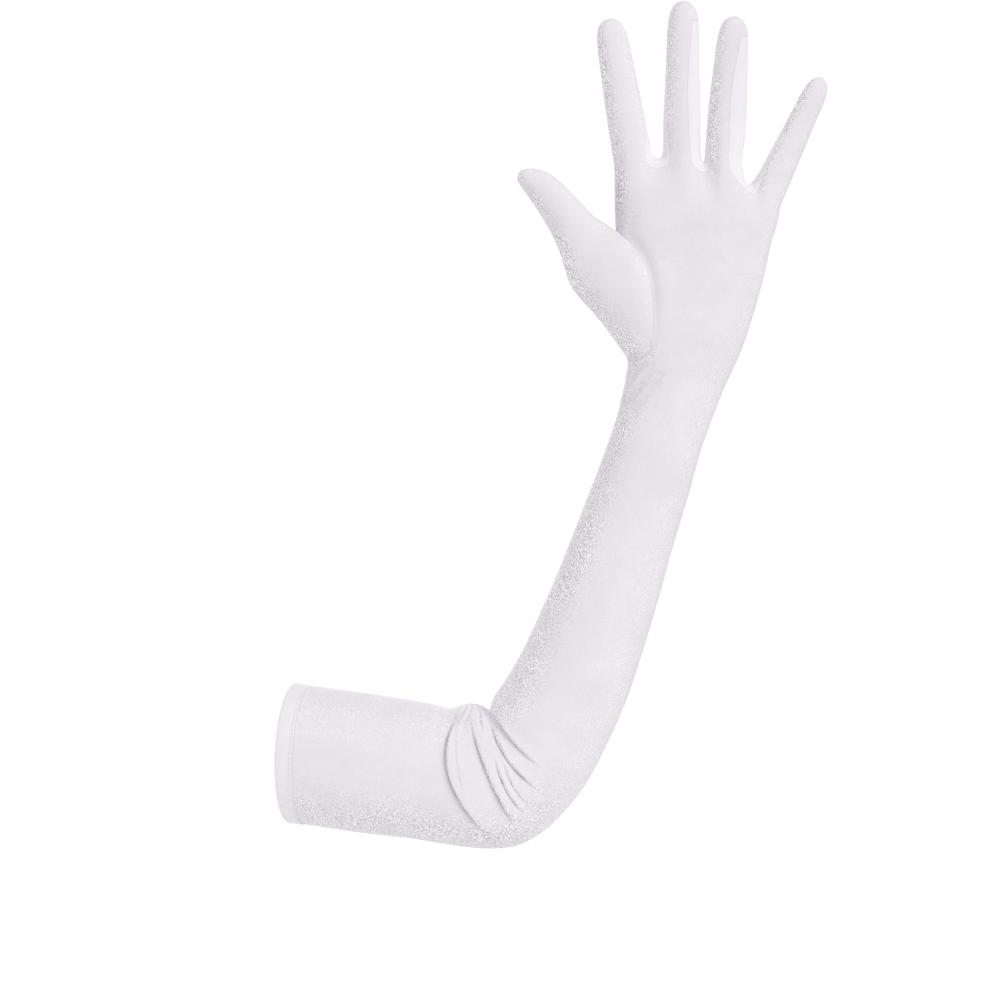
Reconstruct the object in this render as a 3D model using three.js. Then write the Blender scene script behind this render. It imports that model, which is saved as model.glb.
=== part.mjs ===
// Long stretch-velvet dress glove for the left hand, above the elbow, in the form that it has on an arm.
// Millimetres, +Z up. The origin is the middle of the cuff's mouth, the sleeve runs along +X to the elbow,
// the forearm and hand rise along +Z, and the palm faces -Y.
//
// The glove is one smooth cage of four-sided faces, cut along its seams into panels. Each panel becomes a
// wall of cloth of its own. The trank's fingers are also cut off at their roots, with a closer gap than a seam.

import * as THREE from "three";

// Cloth and seams
const CLOTH_WALL = 1.2;
const HEM_WALL = 2.0;
const HEM_PROUD = 0.4;
const SEAM_INSET = 0.24;
const FINGER_CUT_INSET = 0.08;

// Points around the sleeve and palm, around a finger and around the thumb
const RING = 26;
const FINGER_RING = 8;
const THUMB_RING = 14;

// Sleeve, from the cuff to the wrist. Each row is one section: where its edge lies on the thumb's side (inner)
// and on the little finger's side (outer), the place of its middle in y, its half depth, how far it leans along
// +X for each millimetre of depth, and the number of steps to the next row.
const SLEEVE = [
  { name: "cuff_rim", inner: [1.3, 36.2], outer: [-1.3, -36.2], y: 0, depth: 35, lean: 0.22, steps: 1 },
  { name: "hem_line", inner: [9.4, 34.7], outer: [6.4, -36.5], y: -3, depth: 35, lean: 0.21, steps: 1 },
  { name: "upper_arm_a", inner: [24.2, 32.9], outer: [21.7, -38.5], y: -6.5, depth: 34.5, lean: 0.2, steps: 1 },
  { name: "upper_arm_b", inner: [41.6, 30.6], outer: [40.5, -40.8], y: -10.5, depth: 34, lean: 0.18, steps: 1 },
  { name: "upper_arm_c", inner: [58.9, 28.1], outer: [60.9, -42.8], y: -14, depth: 33.5, lean: 0.16, steps: 1 },
  { name: "upper_arm_d", inner: [72.2, 25.8], outer: [78.3, -45.4], y: -16.5, depth: 33, lean: 0.2, steps: 2 },
  { name: "elbow_a", inner: [79.3, 24.0], outer: [92.1, -47.2], y: -18, depth: 32.5, lean: 0.27, steps: 3 },
  { name: "elbow_b", inner: [84.9, 24.7], outer: [103.3, -47.7], y: -19, depth: 32.5, lean: 0.33, steps: 3 },
  { name: "elbow_c", inner: [90.0, 26.3], outer: [113.5, -46.7], y: -19.5, depth: 32.5, lean: 0.28, steps: 3 },
  { name: "elbow_d", inner: [95.1, 25.8], outer: [123.2, -42.8], y: -20, depth: 32.5, lean: 0.22, steps: 3 },
  { name: "elbow_e", inner: [98.9, 24.0], outer: [131.8, -36.7], y: -20.5, depth: 32.5, lean: 0.15, steps: 3 },
  { name: "crook", inner: [101.2, 22.8], outer: [139.5, -29.1], y: -21, depth: 32.5, lean: 0.06, steps: 2 },
  { name: "elbow_f", inner: [102.2, 25.5], outer: [146.1, -21.2], y: -21.5, depth: 32.5, lean: 0.03, steps: 1 },
  { name: "elbow_g", inner: [103.2, 28.6], outer: [152.0, -12.5], y: -22, depth: 32, lean: 0.01, steps: 1 },
  { name: "elbow_h", inner: [105.5, 32.6], outer: [157.3, -2.5], y: -22, depth: 31.5, lean: 0, steps: 1 },
  { name: "forearm_a", inner: [111.2, 41.0], outer: [163.5, 10.2], y: -22.5, depth: 31, lean: 0, steps: 1 },
  { name: "forearm_b", inner: [120.6, 58.1], outer: [172.9, 32.6], y: -23, depth: 30, lean: 0, steps: 1 },
  { name: "forearm_c", inner: [135.4, 91.3], outer: [184.9, 70.6], y: -23, depth: 27.5, lean: 0, steps: 1 },
  { name: "forearm_d", inner: [147.6, 121.9], outer: [194.3, 104.0], y: -22.5, depth: 24.5, lean: 0, steps: 1 },
  { name: "forearm_e", inner: [158.4, 149.9], outer: [203.2, 133.6], y: -21.5, depth: 22, lean: 0, steps: 1 },
  { name: "forearm_f", inner: [165.8, 170.8], outer: [210.1, 157.8], y: -20.5, depth: 20, lean: 0, steps: 1 },
  { name: "wrist_low", inner: [169.6, 185.6], outer: [217.1, 176.5], y: -19.5, depth: 18.8, lean: 0, steps: 1 },
  { name: "wrist", inner: [171.2, 194.6], outer: [222.3, 189.6], y: -19, depth: 18.2, lean: 0, steps: 1 },
];

// Palm, from the heel of the hand to under the fingers: half depth to the palm's side (front) and to the
// back of the hand, depth of the palm's hollow, squareness of the section, share of the way from the sleeve's
// even spacing of points to the fingers' spacing, how far across the palm the thumb's seam lies, and how far
// the two points from the thumb's side to that seam rise above the section.
const PALM = [
  { name: "heel", inner: [171.8, 201.2], outer: [229.6, 205.4], y: -19, front: 18.5, back: 16.5, hollow: 1,
    square: 2.1, spacing: 0.15, seam: 0.185, rise: [-1, 3.4] },
  { name: "thumb_low", inner: [167.5, 226.0], outer: [236.8, 227.0], y: -19, front: 18, back: 15, hollow: 2.5,
    square: 2.2, spacing: 0.35, seam: 0.245, rise: [0, 0] },
  { name: "thumb_high", inner: [166.0, 248.4], outer: [242.5, 248.4], y: -19, front: 16, back: 14, hollow: 3,
    square: 2.3, spacing: 0.55, seam: 0.195, rise: [0, 0] },
  { name: "thumb_crotch", inner: [165.8, 268.3], outer: [245.6, 262.6], y: -19, front: 14.5, back: 13.5,
    hollow: 2, square: 2.4, spacing: 0.75, seam: 0.085, rise: [-2.9, -6.2] },
  { name: "palm_top", inner: [165.3, 283.0], outer: [248.4, 271.2], y: -19, front: 13, back: 13, hollow: 0.6,
    square: 2.4, spacing: 0.9, seam: null, rise: [0, 0] },
];
const HOLLOW_MIDDLE = 0.45;
const HOLLOW_REACH = 0.22;
const FIRST_POINT_BEFORE_SEAM = 0.42;

// Fingers: middle of the root and the tip in x and z, how far the tip bends to the palm's side, the angle by
// which the palm's seams turn to the thumb's side at the root, and the finger's width at its root, half way and
// near its tip
const FINGERS = [
  { name: "index", root: [175.4, 299.4], tip: [162.2, 375.3], bend: 5, turn: 0, width: [20.6, 18.8, 16.2] },
  { name: "middle", root: [199.4, 301.4], tip: [200.3, 384.3], bend: 6, turn: 6, width: [19.8, 17.8, 15.5] },
  { name: "ring", root: [220.7, 297.3], tip: [226.1, 376.4], bend: 6, turn: 18, width: [19.7, 18.8, 15.4] },
  { name: "little", root: [241.6, 283.0], tip: [270.9, 345.2], bend: 4, turn: 0, width: [18.2, 14.8, 12.0] },
];
const FINGER_Y = -19;
const FINGER_DEPTH_SHARE = 0.94;
const FINGER_HALF = 0.5;
const FINGER_END = 0.87;
const WEB_RISE = 4.5;
const KNUCKLE_DROP = 3;

// Sections of every finger: distance along it as a share of its length, width as a share of the tapered
// width there, and the angle from the side of the finger to its seams
const FINGER_SECTIONS = [
  { along: 0, size: 1, seam: 54 },
  { along: 0.2, size: 1, seam: 54 },
  { along: 0.44, size: 1, seam: 50 },
  { along: 0.68, size: 1, seam: 40 },
  { along: 0.87, size: 1, seam: 27 },
  { along: 0.96, size: 0.74, seam: 32 },
];
const FOURCHETTE_ROWS = 4;

// Thumb sections from its seam to its tip: edge on the wrist's side (low) and on the index finger's side
// (high) in x and z, place of the middle in y, half depth, how far the ball of the thumb leans over the palm,
// and squareness of the section
const THUMB = [
  { name: "mound", low: [167.2, 208.6], high: [165.2, 267.4], y: -21.5, depth: 17.5, lean: 11, square: 2.3 },
  { name: "ball", low: [158.0, 221.0], high: [163.6, 268.6], y: -23, depth: 18.5, lean: 4, square: 2.3 },
  { name: "above_ball", low: [147.4, 232.8], high: [160.4, 270.9], y: -25.2, depth: 15.8, lean: 1, square: 2 },
  { name: "middle", low: [141.3, 242.4], high: [156.4, 273.0], y: -27.2, depth: 13.4, lean: 0, square: 2 },
  { name: "joint", low: [136.4, 257.8], high: [150.9, 278.0], y: -29, depth: 11.6, lean: 0, square: 2 },
  { name: "above_joint", low: [128.6, 272.6], high: [142.6, 286.6], y: -31, depth: 10.2, lean: 0, square: 2 },
  { name: "nail", low: [122.7, 281.7], high: [134.9, 293.5], y: -32, depth: 8.6, lean: 0, square: 2 },
  { name: "end", low: [117.6, 288.7], high: [126.8, 297.7], y: -33, depth: 6.6, lean: 0, square: 2 },
  { name: "cap", low: [115.6, 292.4], high: [120.3, 298.0], y: -33.5, depth: 4, lean: 0, square: 2 },
];
const THUMB_TIP = [116.8, -33.7, 296.6];
const THUMB_ROW_LOW = 0;
const THUMB_ROW_HIGH = 3;
const THUMB_COLUMNS = 2;

// Folds of the bent elbow and the crease at the wrist: each is a curve in x and z from start to end, pulled
// towards bend, with its depth and half width, and the share of its depth that shows on the back
const FOLDS = [
  { name: "a", start: [87, 24], bend: [65.5, -7], end: [104, -43], depth: 3.2, half: 3.4, back: 0.7 },
  { name: "b", start: [92, 20], bend: [96, -3], end: [113.5, -34], depth: 2.6, half: 2.8, back: 0.7 },
  { name: "c", start: [101, 21], bend: [105, 0], end: [130, -19], depth: 2.8, half: 2.8, back: 0.7 },
  { name: "d", start: [102, 24], bend: [109, 9], end: [131, -8], depth: 3.2, half: 2.8, back: 0.7 },
  { name: "e", start: [103, 4], bend: [107, -19], end: [120, -28], depth: 1.6, half: 2.6, back: 0.3 },
  { name: "wrist", start: [170, 200], bend: [178, 199], end: [184, 206], depth: 1.6, half: 3.0, back: 0.2 },
];
const FOLD_RIDGE = 0.45;
const RIDGE_PLACE = 1.9;
const FOLD_END_SHARE = 0.25;
const FOLD_FADE = 4.5;
const SIDE_FADE = 2;
const FOLD_STEPS = 24;

const FIT_ROUNDS = 16;

const VELVET = { color: 0xe6e4e8, roughness: 0.95, metalness: 0 };
const STRIP_VELVET = { color: 0xefeff3, roughness: 0.95, metalness: 0 };
const HEM_VELVET = { color: 0xe5e2ec, roughness: 0.9, metalness: 0 };

const mix = (a, b, t) => a + (b - a) * t;

// Smooth curve through four even values, from b to c
function between(a, b, c, d, t) {
  const slopeIn = (c - a) / 2;
  const slopeOut = (d - b) / 2;
  const t2 = t * t;
  const t3 = t2 * t;
  return (2 * t3 - 3 * t2 + 1) * b + (t3 - 2 * t2 + t) * slopeIn + (3 * t2 - 2 * t3) * c + (t3 - t2) * slopeOut;
}

// A row between two rows of a table, with every number and pair carried smoothly
function rowBetween(table, index, t) {
  const rows = [-1, 0, 1, 2].map((shift) => table[Math.min(Math.max(index + shift, 0), table.length - 1)]);
  const row = {};
  for (const key of Object.keys(table[index])) {
    const values = rows.map((one) => one[key]);
    if (Array.isArray(values[0])) {
      row[key] = values[0].map((_, axis) => between(...values.map((value) => value[axis]), t));
    } else if (typeof values[0] === "number") {
      row[key] = between(...values, t);
    }
  }
  return row;
}

// Share of the way across a section at which its twelve front and twelve back points lie
function evenSpacing() {
  return Array.from({ length: RING / 2 - 1 }, (_, i) => (1 - Math.cos((2 * Math.PI * (i + 1)) / RING)) / 2);
}

// Angles from a finger's inner side to its two seams on the palm's side and to the middle between them. Their
// turn fades out towards the tip.
function palmAngles(finger, section) {
  const turn = finger.turn * (1 - section.along * section.along);
  return [section.seam, 90, 180 - section.seam].map((degrees) => degrees - turn);
}

function fingerSpacing() {
  const left = FINGERS[0].root[0] - FINGERS[0].width[0] / 2;
  const last = FINGERS[FINGERS.length - 1];
  const right = last.root[0] + last.width[0] / 2;
  return FINGERS.flatMap((finger) => palmAngles(finger, FINGER_SECTIONS[0]).map((degrees) => {
    const side = (-Math.cos(THREE.MathUtils.degToRad(degrees)) * finger.width[0]) / 2;
    return (finger.root[0] + side - left) / (right - left);
  }));
}

// Moves the second point to the thumb's seam and spreads the others out beside it
function withThumbSeam(spacing, seam) {
  const second = spacing[1];
  return spacing.map((share, i) => {
    if (i === 0) {
      return seam * FIRST_POINT_BEFORE_SEAM;
    }
    return seam + ((share - second) * (1 - seam)) / (1 - second);
  });
}

// One closed section of 26 points: 0 on the thumb's side, 1 to 12 over the palm, 13 on the little finger's
// side and 14 to 25 back over the hand
function ringPoints(row) {
  const inner = new THREE.Vector3(row.inner[0], row.y, row.inner[1]);
  const outer = new THREE.Vector3(row.outer[0], row.y, row.outer[1]);
  const middle = inner.clone().add(outer).multiplyScalar(0.5);
  const across = outer.clone().sub(inner).multiplyScalar(0.5);
  const deep = new THREE.Vector3(row.lean ?? 0, 1, 0);
  const square = row.square ?? 2;
  let spacing = row.spacing ? evenSpacing().map((v, i) => mix(v, fingerSpacing()[i], row.spacing)) : evenSpacing();
  if (row.seam) {
    spacing = withThumbSeam(spacing, row.seam);
  }
  const place = (share, i, depth, hollow) => {
    const along = 2 * share - 1;
    const height = Math.pow(Math.max(1 - Math.pow(Math.abs(along), square), 0), 1 / square);
    const dip = hollow * Math.exp(-(((share - HOLLOW_MIDDLE) / HOLLOW_REACH) ** 2));
    const point = middle.clone().addScaledVector(across, along).addScaledVector(deep, depth * height + dip);
    point.z += row.rise?.[i] ?? 0;
    return point;
  };
  const front = row.front ?? row.depth;
  const back = row.back ?? row.depth;
  return [
    inner,
    ...spacing.map((share, i) => place(share, i, -front, row.hollow ?? 0)),
    outer,
    ...spacing.map((share, i) => place(share, i, back, 0)).toReversed(),
  ];
}

// The eight points of a finger's section: inner side, three over the palm's side, outer side, three behind
function fingerPoints(finger, section) {
  const axis = new THREE.Vector2(finger.tip[0] - finger.root[0], finger.tip[1] - finger.root[1]);
  const length = axis.length();
  axis.divideScalar(length);
  const t = section.along;
  const [root, half, end] = finger.width;
  const tapered = t < FINGER_HALF
    ? mix(root, half, t / FINGER_HALF)
    : mix(half, end, (t - FINGER_HALF) / (FINGER_END - FINGER_HALF));
  const radius = (Math.min(tapered, root) * section.size) / 2;
  const middle = new THREE.Vector3(
    finger.root[0] + axis.x * length * t,
    FINGER_Y - finger.bend * t * t,
    finger.root[1] + axis.y * length * t,
  );
  const angles = [0, ...palmAngles(finger, section), 180, 180 + section.seam, 270, 360 - section.seam];
  return angles.map((degrees) => {
    const angle = THREE.MathUtils.degToRad(degrees);
    const side = -radius * Math.cos(angle);
    const depth = -radius * FINGER_DEPTH_SHARE * Math.sin(angle);
    return new THREE.Vector3(middle.x + side * axis.y, middle.y + depth, middle.z - side * axis.x);
  });
}

function thumbPoints(section) {
  const low = new THREE.Vector3(section.low[0], section.y, section.low[1]);
  const high = new THREE.Vector3(section.high[0], section.y, section.high[1]);
  const middle = low.clone().add(high).multiplyScalar(0.5);
  const up = high.clone().sub(low).multiplyScalar(0.5);
  const squared = (value) => Math.sign(value) * Math.pow(Math.abs(value), 2 / section.square);
  return Array.from({ length: THUMB_RING }, (_, j) => {
    const angle = (2 * Math.PI * j) / THUMB_RING;
    const forward = squared(Math.sin(angle));
    const point = middle.clone().addScaledVector(up, squared(Math.cos(angle)));
    point.x += section.lean * forward * forward;
    point.y -= section.depth * forward;
    return point;
  });
}

// The cage: points that the smooth surface passes through, and faces that say which panel they belong to.
// A coarse face is kept as it is in the finished walls, any other is split in four.
class Cage {
  points = [];
  faces = [];

  addPoints(points) {
    const first = this.points.length;
    this.points.push(...points);
    return points.map((_, i) => first + i);
  }

  addFace(panel, corners, coarse = false) {
    this.faces.push({ panel, corners, coarse });
  }
}

function buildCage() {
  const cage = new Cage();
  const rings = [];
  SLEEVE.forEach((row, index) => {
    const steps = index + 1 < SLEEVE.length ? row.steps : 1;
    for (let step = 0; step < steps; step += 1) {
      rings.push(cage.addPoints(ringPoints(rowBetween(SLEEVE, index, step / steps))));
    }
  });
  const wristRing = rings.length - 1;
  for (const row of PALM) {
    rings.push(cage.addPoints(ringPoints(row)));
  }
  const heelRing = wristRing + 1;

  const fingerRings = FINGERS.map((finger) =>
    FINGER_SECTIONS.map((section) => cage.addPoints(fingerPoints(finger, section))));
  rings.push(knuckleRing(cage, fingerRings));
  addSleeveAndPalm(cage, rings, wristRing, heelRing);
  addFingers(cage, fingerRings);
  addThumb(cage, rings, heelRing);
  return cage;
}

// The roots of the fingers give the last ring of the palm. Their side points lie higher, in the webs.
function knuckleRing(cage, fingerRings) {
  const roots = fingerRings.map((sections) => sections[0]);
  roots.forEach((root, finger) => {
    const inWeb = [finger > 0 ? root[0] : null, finger + 1 < roots.length ? root[4] : null];
    for (const point of inWeb.filter((one) => one !== null)) {
      cage.points[point].z += WEB_RISE;
    }
    for (const point of root.slice(5)) {
      cage.points[point].z -= KNUCKLE_DROP;
    }
  });
  return [
    roots[0][0],
    ...roots.flatMap((root) => root.slice(1, 4)),
    roots[roots.length - 1][4],
    ...roots.toReversed().flatMap((root) => root.slice(5, 8)),
  ];
}

// Columns of the palm that the thumb's opening takes, counted from the thumb's side
function inThumbOpening(ring, column, heelRing) {
  const rowInside = ring >= heelRing + THUMB_ROW_LOW && ring < heelRing + THUMB_ROW_HIGH;
  return rowInside && (column < THUMB_COLUMNS || column >= RING - THUMB_COLUMNS);
}

function addSleeveAndPalm(cage, rings, wristRing, heelRing) {
  for (let ring = 0; ring + 1 < rings.length; ring += 1) {
    for (let column = 0; column < RING; column += 1) {
      if (!inThumbOpening(ring, column, heelRing)) {
        const next = (column + 1) % RING;
        const corners = [rings[ring][column], rings[ring][next], rings[ring + 1][next], rings[ring + 1][column]];
        cage.addFace(ring === 0 ? "cuff_hem" : "trank", corners, ring < wristRing);
      }
    }
  }
}

const fingerPanel = (finger) => `trank_finger_${finger.name}`;

// Fourchettes are the facing sides of two fingers up to their last full section, and the web between them
function addFingers(cage, fingerRings) {
  const strip = FINGERS.slice(1).map((finger, i) => `fourchette_${FINGERS[i].name}_${finger.name}`);
  fingerRings.forEach((sections, finger) => {
    for (let row = 0; row + 1 < sections.length; row += 1) {
      for (let j = 0; j < FINGER_RING; j += 1) {
        const next = (j + 1) % FINGER_RING;
        const facesNext = j === 3 || j === 4;
        const facesLast = j === 7 || j === 0;
        let panel = fingerPanel(FINGERS[finger]);
        if (row < FOURCHETTE_ROWS && facesNext && finger < strip.length) {
          panel = strip[finger];
        } else if (row < FOURCHETTE_ROWS && facesLast && finger > 0) {
          panel = strip[finger - 1];
        }
        cage.addFace(panel, [sections[row][j], sections[row][next], sections[row + 1][next], sections[row + 1][j]]);
      }
    }
    const { root, tip, bend } = FINGERS[finger];
    const [top] = cage.addPoints([new THREE.Vector3(tip[0], FINGER_Y - bend, tip[1])]);
    addCap(cage, fingerPanel(FINGERS[finger]), sections[sections.length - 1], top);
    if (finger < strip.length) {
      const here = sections[0];
      const there = fingerRings[finger + 1][0];
      cage.addFace(strip[finger], [here[3], there[1], there[0], here[4]]);
      cage.addFace(strip[finger], [here[4], there[0], there[7], here[5]]);
    }
  });
}

// Four-sided faces from every second point of a ring to a point in its middle
function addCap(cage, panel, ring, top) {
  for (let j = 0; j < ring.length; j += 2) {
    cage.addFace(panel, [ring[j], ring[j + 1], ring[(j + 2) % ring.length], top]);
  }
}

// The thumb grows from the edge of its opening, walked from the top centre over the front
function addThumb(cage, rings, heelRing) {
  const low = heelRing + THUMB_ROW_LOW;
  const high = heelRing + THUMB_ROW_HIGH;
  const side = THUMB_COLUMNS;
  const walk = [];
  for (let column = 0; column < side; column += 1) {
    walk.push([high, column]);
  }
  for (let ring = high; ring > low; ring -= 1) {
    walk.push([ring, side]);
  }
  for (let column = side; column > -side; column -= 1) {
    walk.push([low, column]);
  }
  for (let ring = low; ring < high; ring += 1) {
    walk.push([ring, -side]);
  }
  for (let column = -side; column < 0; column += 1) {
    walk.push([high, column]);
  }
  const sections = [walk.map(([ring, column]) => rings[ring][(column + RING) % RING])];
  for (const section of THUMB) {
    sections.push(cage.addPoints(thumbPoints(section)));
  }
  for (let row = 0; row + 1 < sections.length; row += 1) {
    for (let j = 0; j < THUMB_RING; j += 1) {
      const next = (j + 1) % THUMB_RING;
      cage.addFace("thumb", [sections[row][next], sections[row][j], sections[row + 1][j], sections[row + 1][next]]);
    }
  }
  const [top] = cage.addPoints([new THREE.Vector3(...THUMB_TIP)]);
  addCap(cage, "thumb", sections[sections.length - 1].toReversed(), top);
}

const edgeKey = (a, b) => (a < b ? `${a},${b}` : `${b},${a}`);

// Each edge once, with its two ends and the faces beside it
function edgesOf(faces) {
  const edges = new Map();
  faces.forEach(({ corners }, face) => {
    corners.forEach((corner, i) => {
      const ends = [corner, corners[(i + 1) % corners.length]];
      const key = edgeKey(...ends);
      if (!edges.has(key)) {
        edges.set(key, { ends, faces: [] });
      }
      edges.get(key).faces.push(face);
    });
  });
  return edges;
}

// Where a smooth subdivision surface takes each point of its cage
function limitPoints(points, faces, edges) {
  const count = points.length;
  const ring = Array.from({ length: count }, () => new THREE.Vector3());
  const diagonal = Array.from({ length: count }, () => new THREE.Vector3());
  const rim = Array.from({ length: count }, () => new THREE.Vector3());
  const valence = new Array(count).fill(0);
  const onRim = new Array(count).fill(false);
  for (const { corners } of faces) {
    corners.forEach((corner, i) => diagonal[corner].add(points[corners[(i + 2) % 4]]));
  }
  for (const { ends, faces: beside } of edges.values()) {
    for (const [here, there] of [ends, ends.toReversed()]) {
      ring[here].add(points[there]);
      valence[here] += 1;
      if (beside.length === 1) {
        rim[here].add(points[there]);
        onRim[here] = true;
      }
    }
  }
  return points.map((point, i) => {
    if (onRim[i]) {
      return rim[i].addScaledVector(point, 4).divideScalar(6);
    }
    const n = valence[i];
    return diagonal[i].addScaledVector(ring[i], 4).addScaledVector(point, n * n).divideScalar(n * (n + 5));
  });
}

// Moves the cage until its smooth surface passes through the points of the tables
function fitToTables(cage) {
  const targets = cage.points;
  const edges = edgesOf(cage.faces);
  let points = targets.map((point) => point.clone());
  for (let round = 0; round < FIT_ROUNDS; round += 1) {
    const limit = limitPoints(points, cage.faces, edges);
    points = points.map((point, i) => point.add(targets[i]).sub(limit[i]));
  }
  return points;
}

// One Catmull-Clark step. The finished faces are the four parts of each fine face, and each coarse face
// whole, with a fifth corner where it meets a fine one.
function refine(points, faces) {
  const edges = edgesOf(faces);
  const count = points.length;
  const faceMiddles = faces.map(({ corners }) =>
    corners.reduce((sum, corner) => sum.add(points[corner]), new THREE.Vector3()).divideScalar(corners.length));
  const edgePoints = new Map();
  const edgeSpots = [];
  for (const [key, { ends, faces: beside }] of edges) {
    const spot = points[ends[0]].clone().add(points[ends[1]]);
    if (beside.length === 2) {
      spot.add(faceMiddles[beside[0]]).add(faceMiddles[beside[1]]).divideScalar(4);
    } else {
      spot.divideScalar(2);
    }
    edgePoints.set(key, count + edgeSpots.length);
    edgeSpots.push(spot);
  }
  const firstMiddle = count + edgeSpots.length;
  const split = [];
  const kept = [];
  faces.forEach(({ corners, panel, coarse }, face) => {
    const parts = corners.map((corner, i) => {
      const last = corners[(i + 3) % 4];
      const next = corners[(i + 1) % 4];
      return [corner, edgePoints.get(edgeKey(corner, next)), firstMiddle + face, edgePoints.get(edgeKey(last, corner))];
    });
    split.push(...parts.map((part) => ({ corners: part, panel })));
    if (!coarse) {
      kept.push(...parts.map((part) => ({ corners: part, panel })));
      return;
    }
    const whole = corners.flatMap((corner, i) => {
      const key = edgeKey(corner, corners[(i + 1) % 4]);
      const meetsFine = edges.get(key).faces.some((one) => !faces[one].coarse);
      return meetsFine ? [corner, edgePoints.get(key)] : [corner];
    });
    kept.push({ corners: whole, panel });
  });
  const smoothed = smoothCorners(points, faces, edges, faceMiddles);
  return { points: [...smoothed, ...edgeSpots, ...faceMiddles], split, kept };
}

function smoothCorners(points, faces, edges, faceMiddles) {
  const valence = new Array(points.length).fill(0);
  const middles = points.map(() => new THREE.Vector3());
  const halves = points.map(() => new THREE.Vector3());
  const rim = points.map(() => null);
  faces.forEach(({ corners }, face) => corners.forEach((corner) => middles[corner].add(faceMiddles[face])));
  for (const { ends, faces: beside } of edges.values()) {
    const half = points[ends[0]].clone().add(points[ends[1]]).divideScalar(2);
    ends.forEach((end, i) => {
      valence[end] += 1;
      halves[end].add(half);
      if (beside.length === 1) {
        rim[end] = (rim[end] ?? new THREE.Vector3()).add(points[ends[1 - i]]);
      }
    });
  }
  return points.map((point, i) => {
    if (rim[i]) {
      return rim[i].addScaledVector(point, 6).divideScalar(8);
    }
    const n = valence[i];
    return middles[i].addScaledVector(halves[i], 2).divideScalar(n).addScaledVector(point, n - 3).divideScalar(n);
  });
}

function pointNormals(points, faces) {
  const normals = points.map(() => new THREE.Vector3());
  for (const { corners } of faces) {
    const normal = new THREE.Vector3();
    corners.forEach((corner, i) => {
      normal.add(points[corner].clone().cross(points[corners[(i + 1) % corners.length]]));
    });
    corners.forEach((corner) => normals[corner].add(normal));
  }
  return normals.map((normal) => (normal.lengthSq() > 0 ? normal.normalize() : normal));
}

// Straight distance in x and z from a point to a fold's curve, and how far along the curve that is
function distanceToFold(point, curve) {
  let nearest = { distance: Infinity, along: 0 };
  for (let step = 0; step <= FOLD_STEPS; step += 1) {
    const spot = curve.getPoint(step / FOLD_STEPS);
    const distance = Math.hypot(point.x - spot.x, point.z - spot.y);
    if (distance < nearest.distance) {
      nearest = { distance, along: step / FOLD_STEPS };
    }
  }
  return nearest;
}

// Presses each fold in along its curve and raises a soft ridge on both sides of it
function pressFolds(points, normals) {
  const folds = FOLDS.map((fold) => ({
    ...fold,
    curve: new THREE.QuadraticBezierCurve(
      new THREE.Vector2(...fold.start),
      new THREE.Vector2(...fold.bend),
      new THREE.Vector2(...fold.end),
    ),
  }));
  return points.map((point, i) => {
    const facing = normals[i].y;
    let press = 0;
    for (const fold of folds) {
      const { distance, along } = distanceToFold(point, fold.curve);
      const share = facing < 0 ? 1 : fold.back;
      const ends = Math.min(1, Math.min(along, 1 - along) * FOLD_FADE + FOLD_END_SHARE);
      const u = distance / fold.half;
      const groove = Math.exp(-u * u) - FOLD_RIDGE * Math.exp(-((u - RIDGE_PLACE) ** 2));
      press += fold.depth * share * ends * groove * Math.min(1, Math.abs(facing) * SIDE_FADE);
    }
    return point.clone().addScaledVector(normals[i], -press);
  });
}

// Corners that only the parts of the trank share
function cornersInsideTrank(faces) {
  const inside = new Set();
  const outside = new Set();
  for (const { corners, panel } of faces) {
    corners.forEach((corner) => (panel.startsWith("trank") ? inside : outside).add(corner));
  }
  return inside.difference(outside);
}

// Turns one panel into a closed wall: its own skin, the skin behind it and the cut edges that join them.
// Cut edges draw back a little, so that neighbouring panels don't touch.
function panelGeometry(points, normals, faces, insideTrank, wall, proud) {
  const edges = edgesOf(faces);
  const inset = new Map();
  const cutEdges = new Set();
  for (const [key, { ends, faces: beside }] of edges) {
    if (beside.length === 1) {
      cutEdges.add(key);
      ends.forEach((end) => inset.set(end, new THREE.Vector3()));
    }
  }
  for (const { corners } of faces) {
    const middle = corners.reduce((sum, corner) => sum.add(points[corner]), new THREE.Vector3());
    middle.divideScalar(corners.length);
    corners.filter((corner) => inset.has(corner)).forEach((corner) => {
      inset.get(corner).add(middle.clone().sub(points[corner]));
    });
  }
  const numbers = new Map();
  const positions = [];
  const place = (corner) => {
    const spot = points[corner].clone();
    if (inset.has(corner)) {
      const normal = normals[corner];
      const pull = inset.get(corner).clone();
      pull.addScaledVector(normal, -pull.dot(normal));
      pull.setLength(insideTrank.has(corner) ? FINGER_CUT_INSET : SEAM_INSET);
      spot.add(pull);
    }
    const outside = spot.clone().addScaledVector(normals[corner], proud);
    const inside = spot.clone().addScaledVector(normals[corner], proud - wall);
    numbers.set(corner, numbers.size * 2);
    positions.push(...outside.toArray(), ...inside.toArray());
  };
  for (const { corners } of faces) {
    corners.filter((corner) => !numbers.has(corner)).forEach(place);
  }
  const index = [];
  const triangle = (a, b, c) => {
    index.push(numbers.get(a), numbers.get(b), numbers.get(c));
    index.push(numbers.get(a) + 1, numbers.get(c) + 1, numbers.get(b) + 1);
  };
  for (const { corners } of faces) {
    for (const [a, b, c] of trianglesOf(points, corners)) {
      triangle(a, b, c);
    }
    corners.forEach((a, i) => {
      const b = corners[(i + 1) % corners.length];
      if (cutEdges.has(edgeKey(a, b))) {
        const [outA, outB] = [numbers.get(a), numbers.get(b)];
        index.push(outB, outA, outA + 1, outB, outA + 1, outB + 1);
      }
    });
  }
  const geometry = new THREE.BufferGeometry();
  geometry.setAttribute("position", new THREE.Float32BufferAttribute(positions, 3));
  geometry.setIndex(index);
  geometry.computeVertexNormals();
  return geometry;
}

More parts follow.
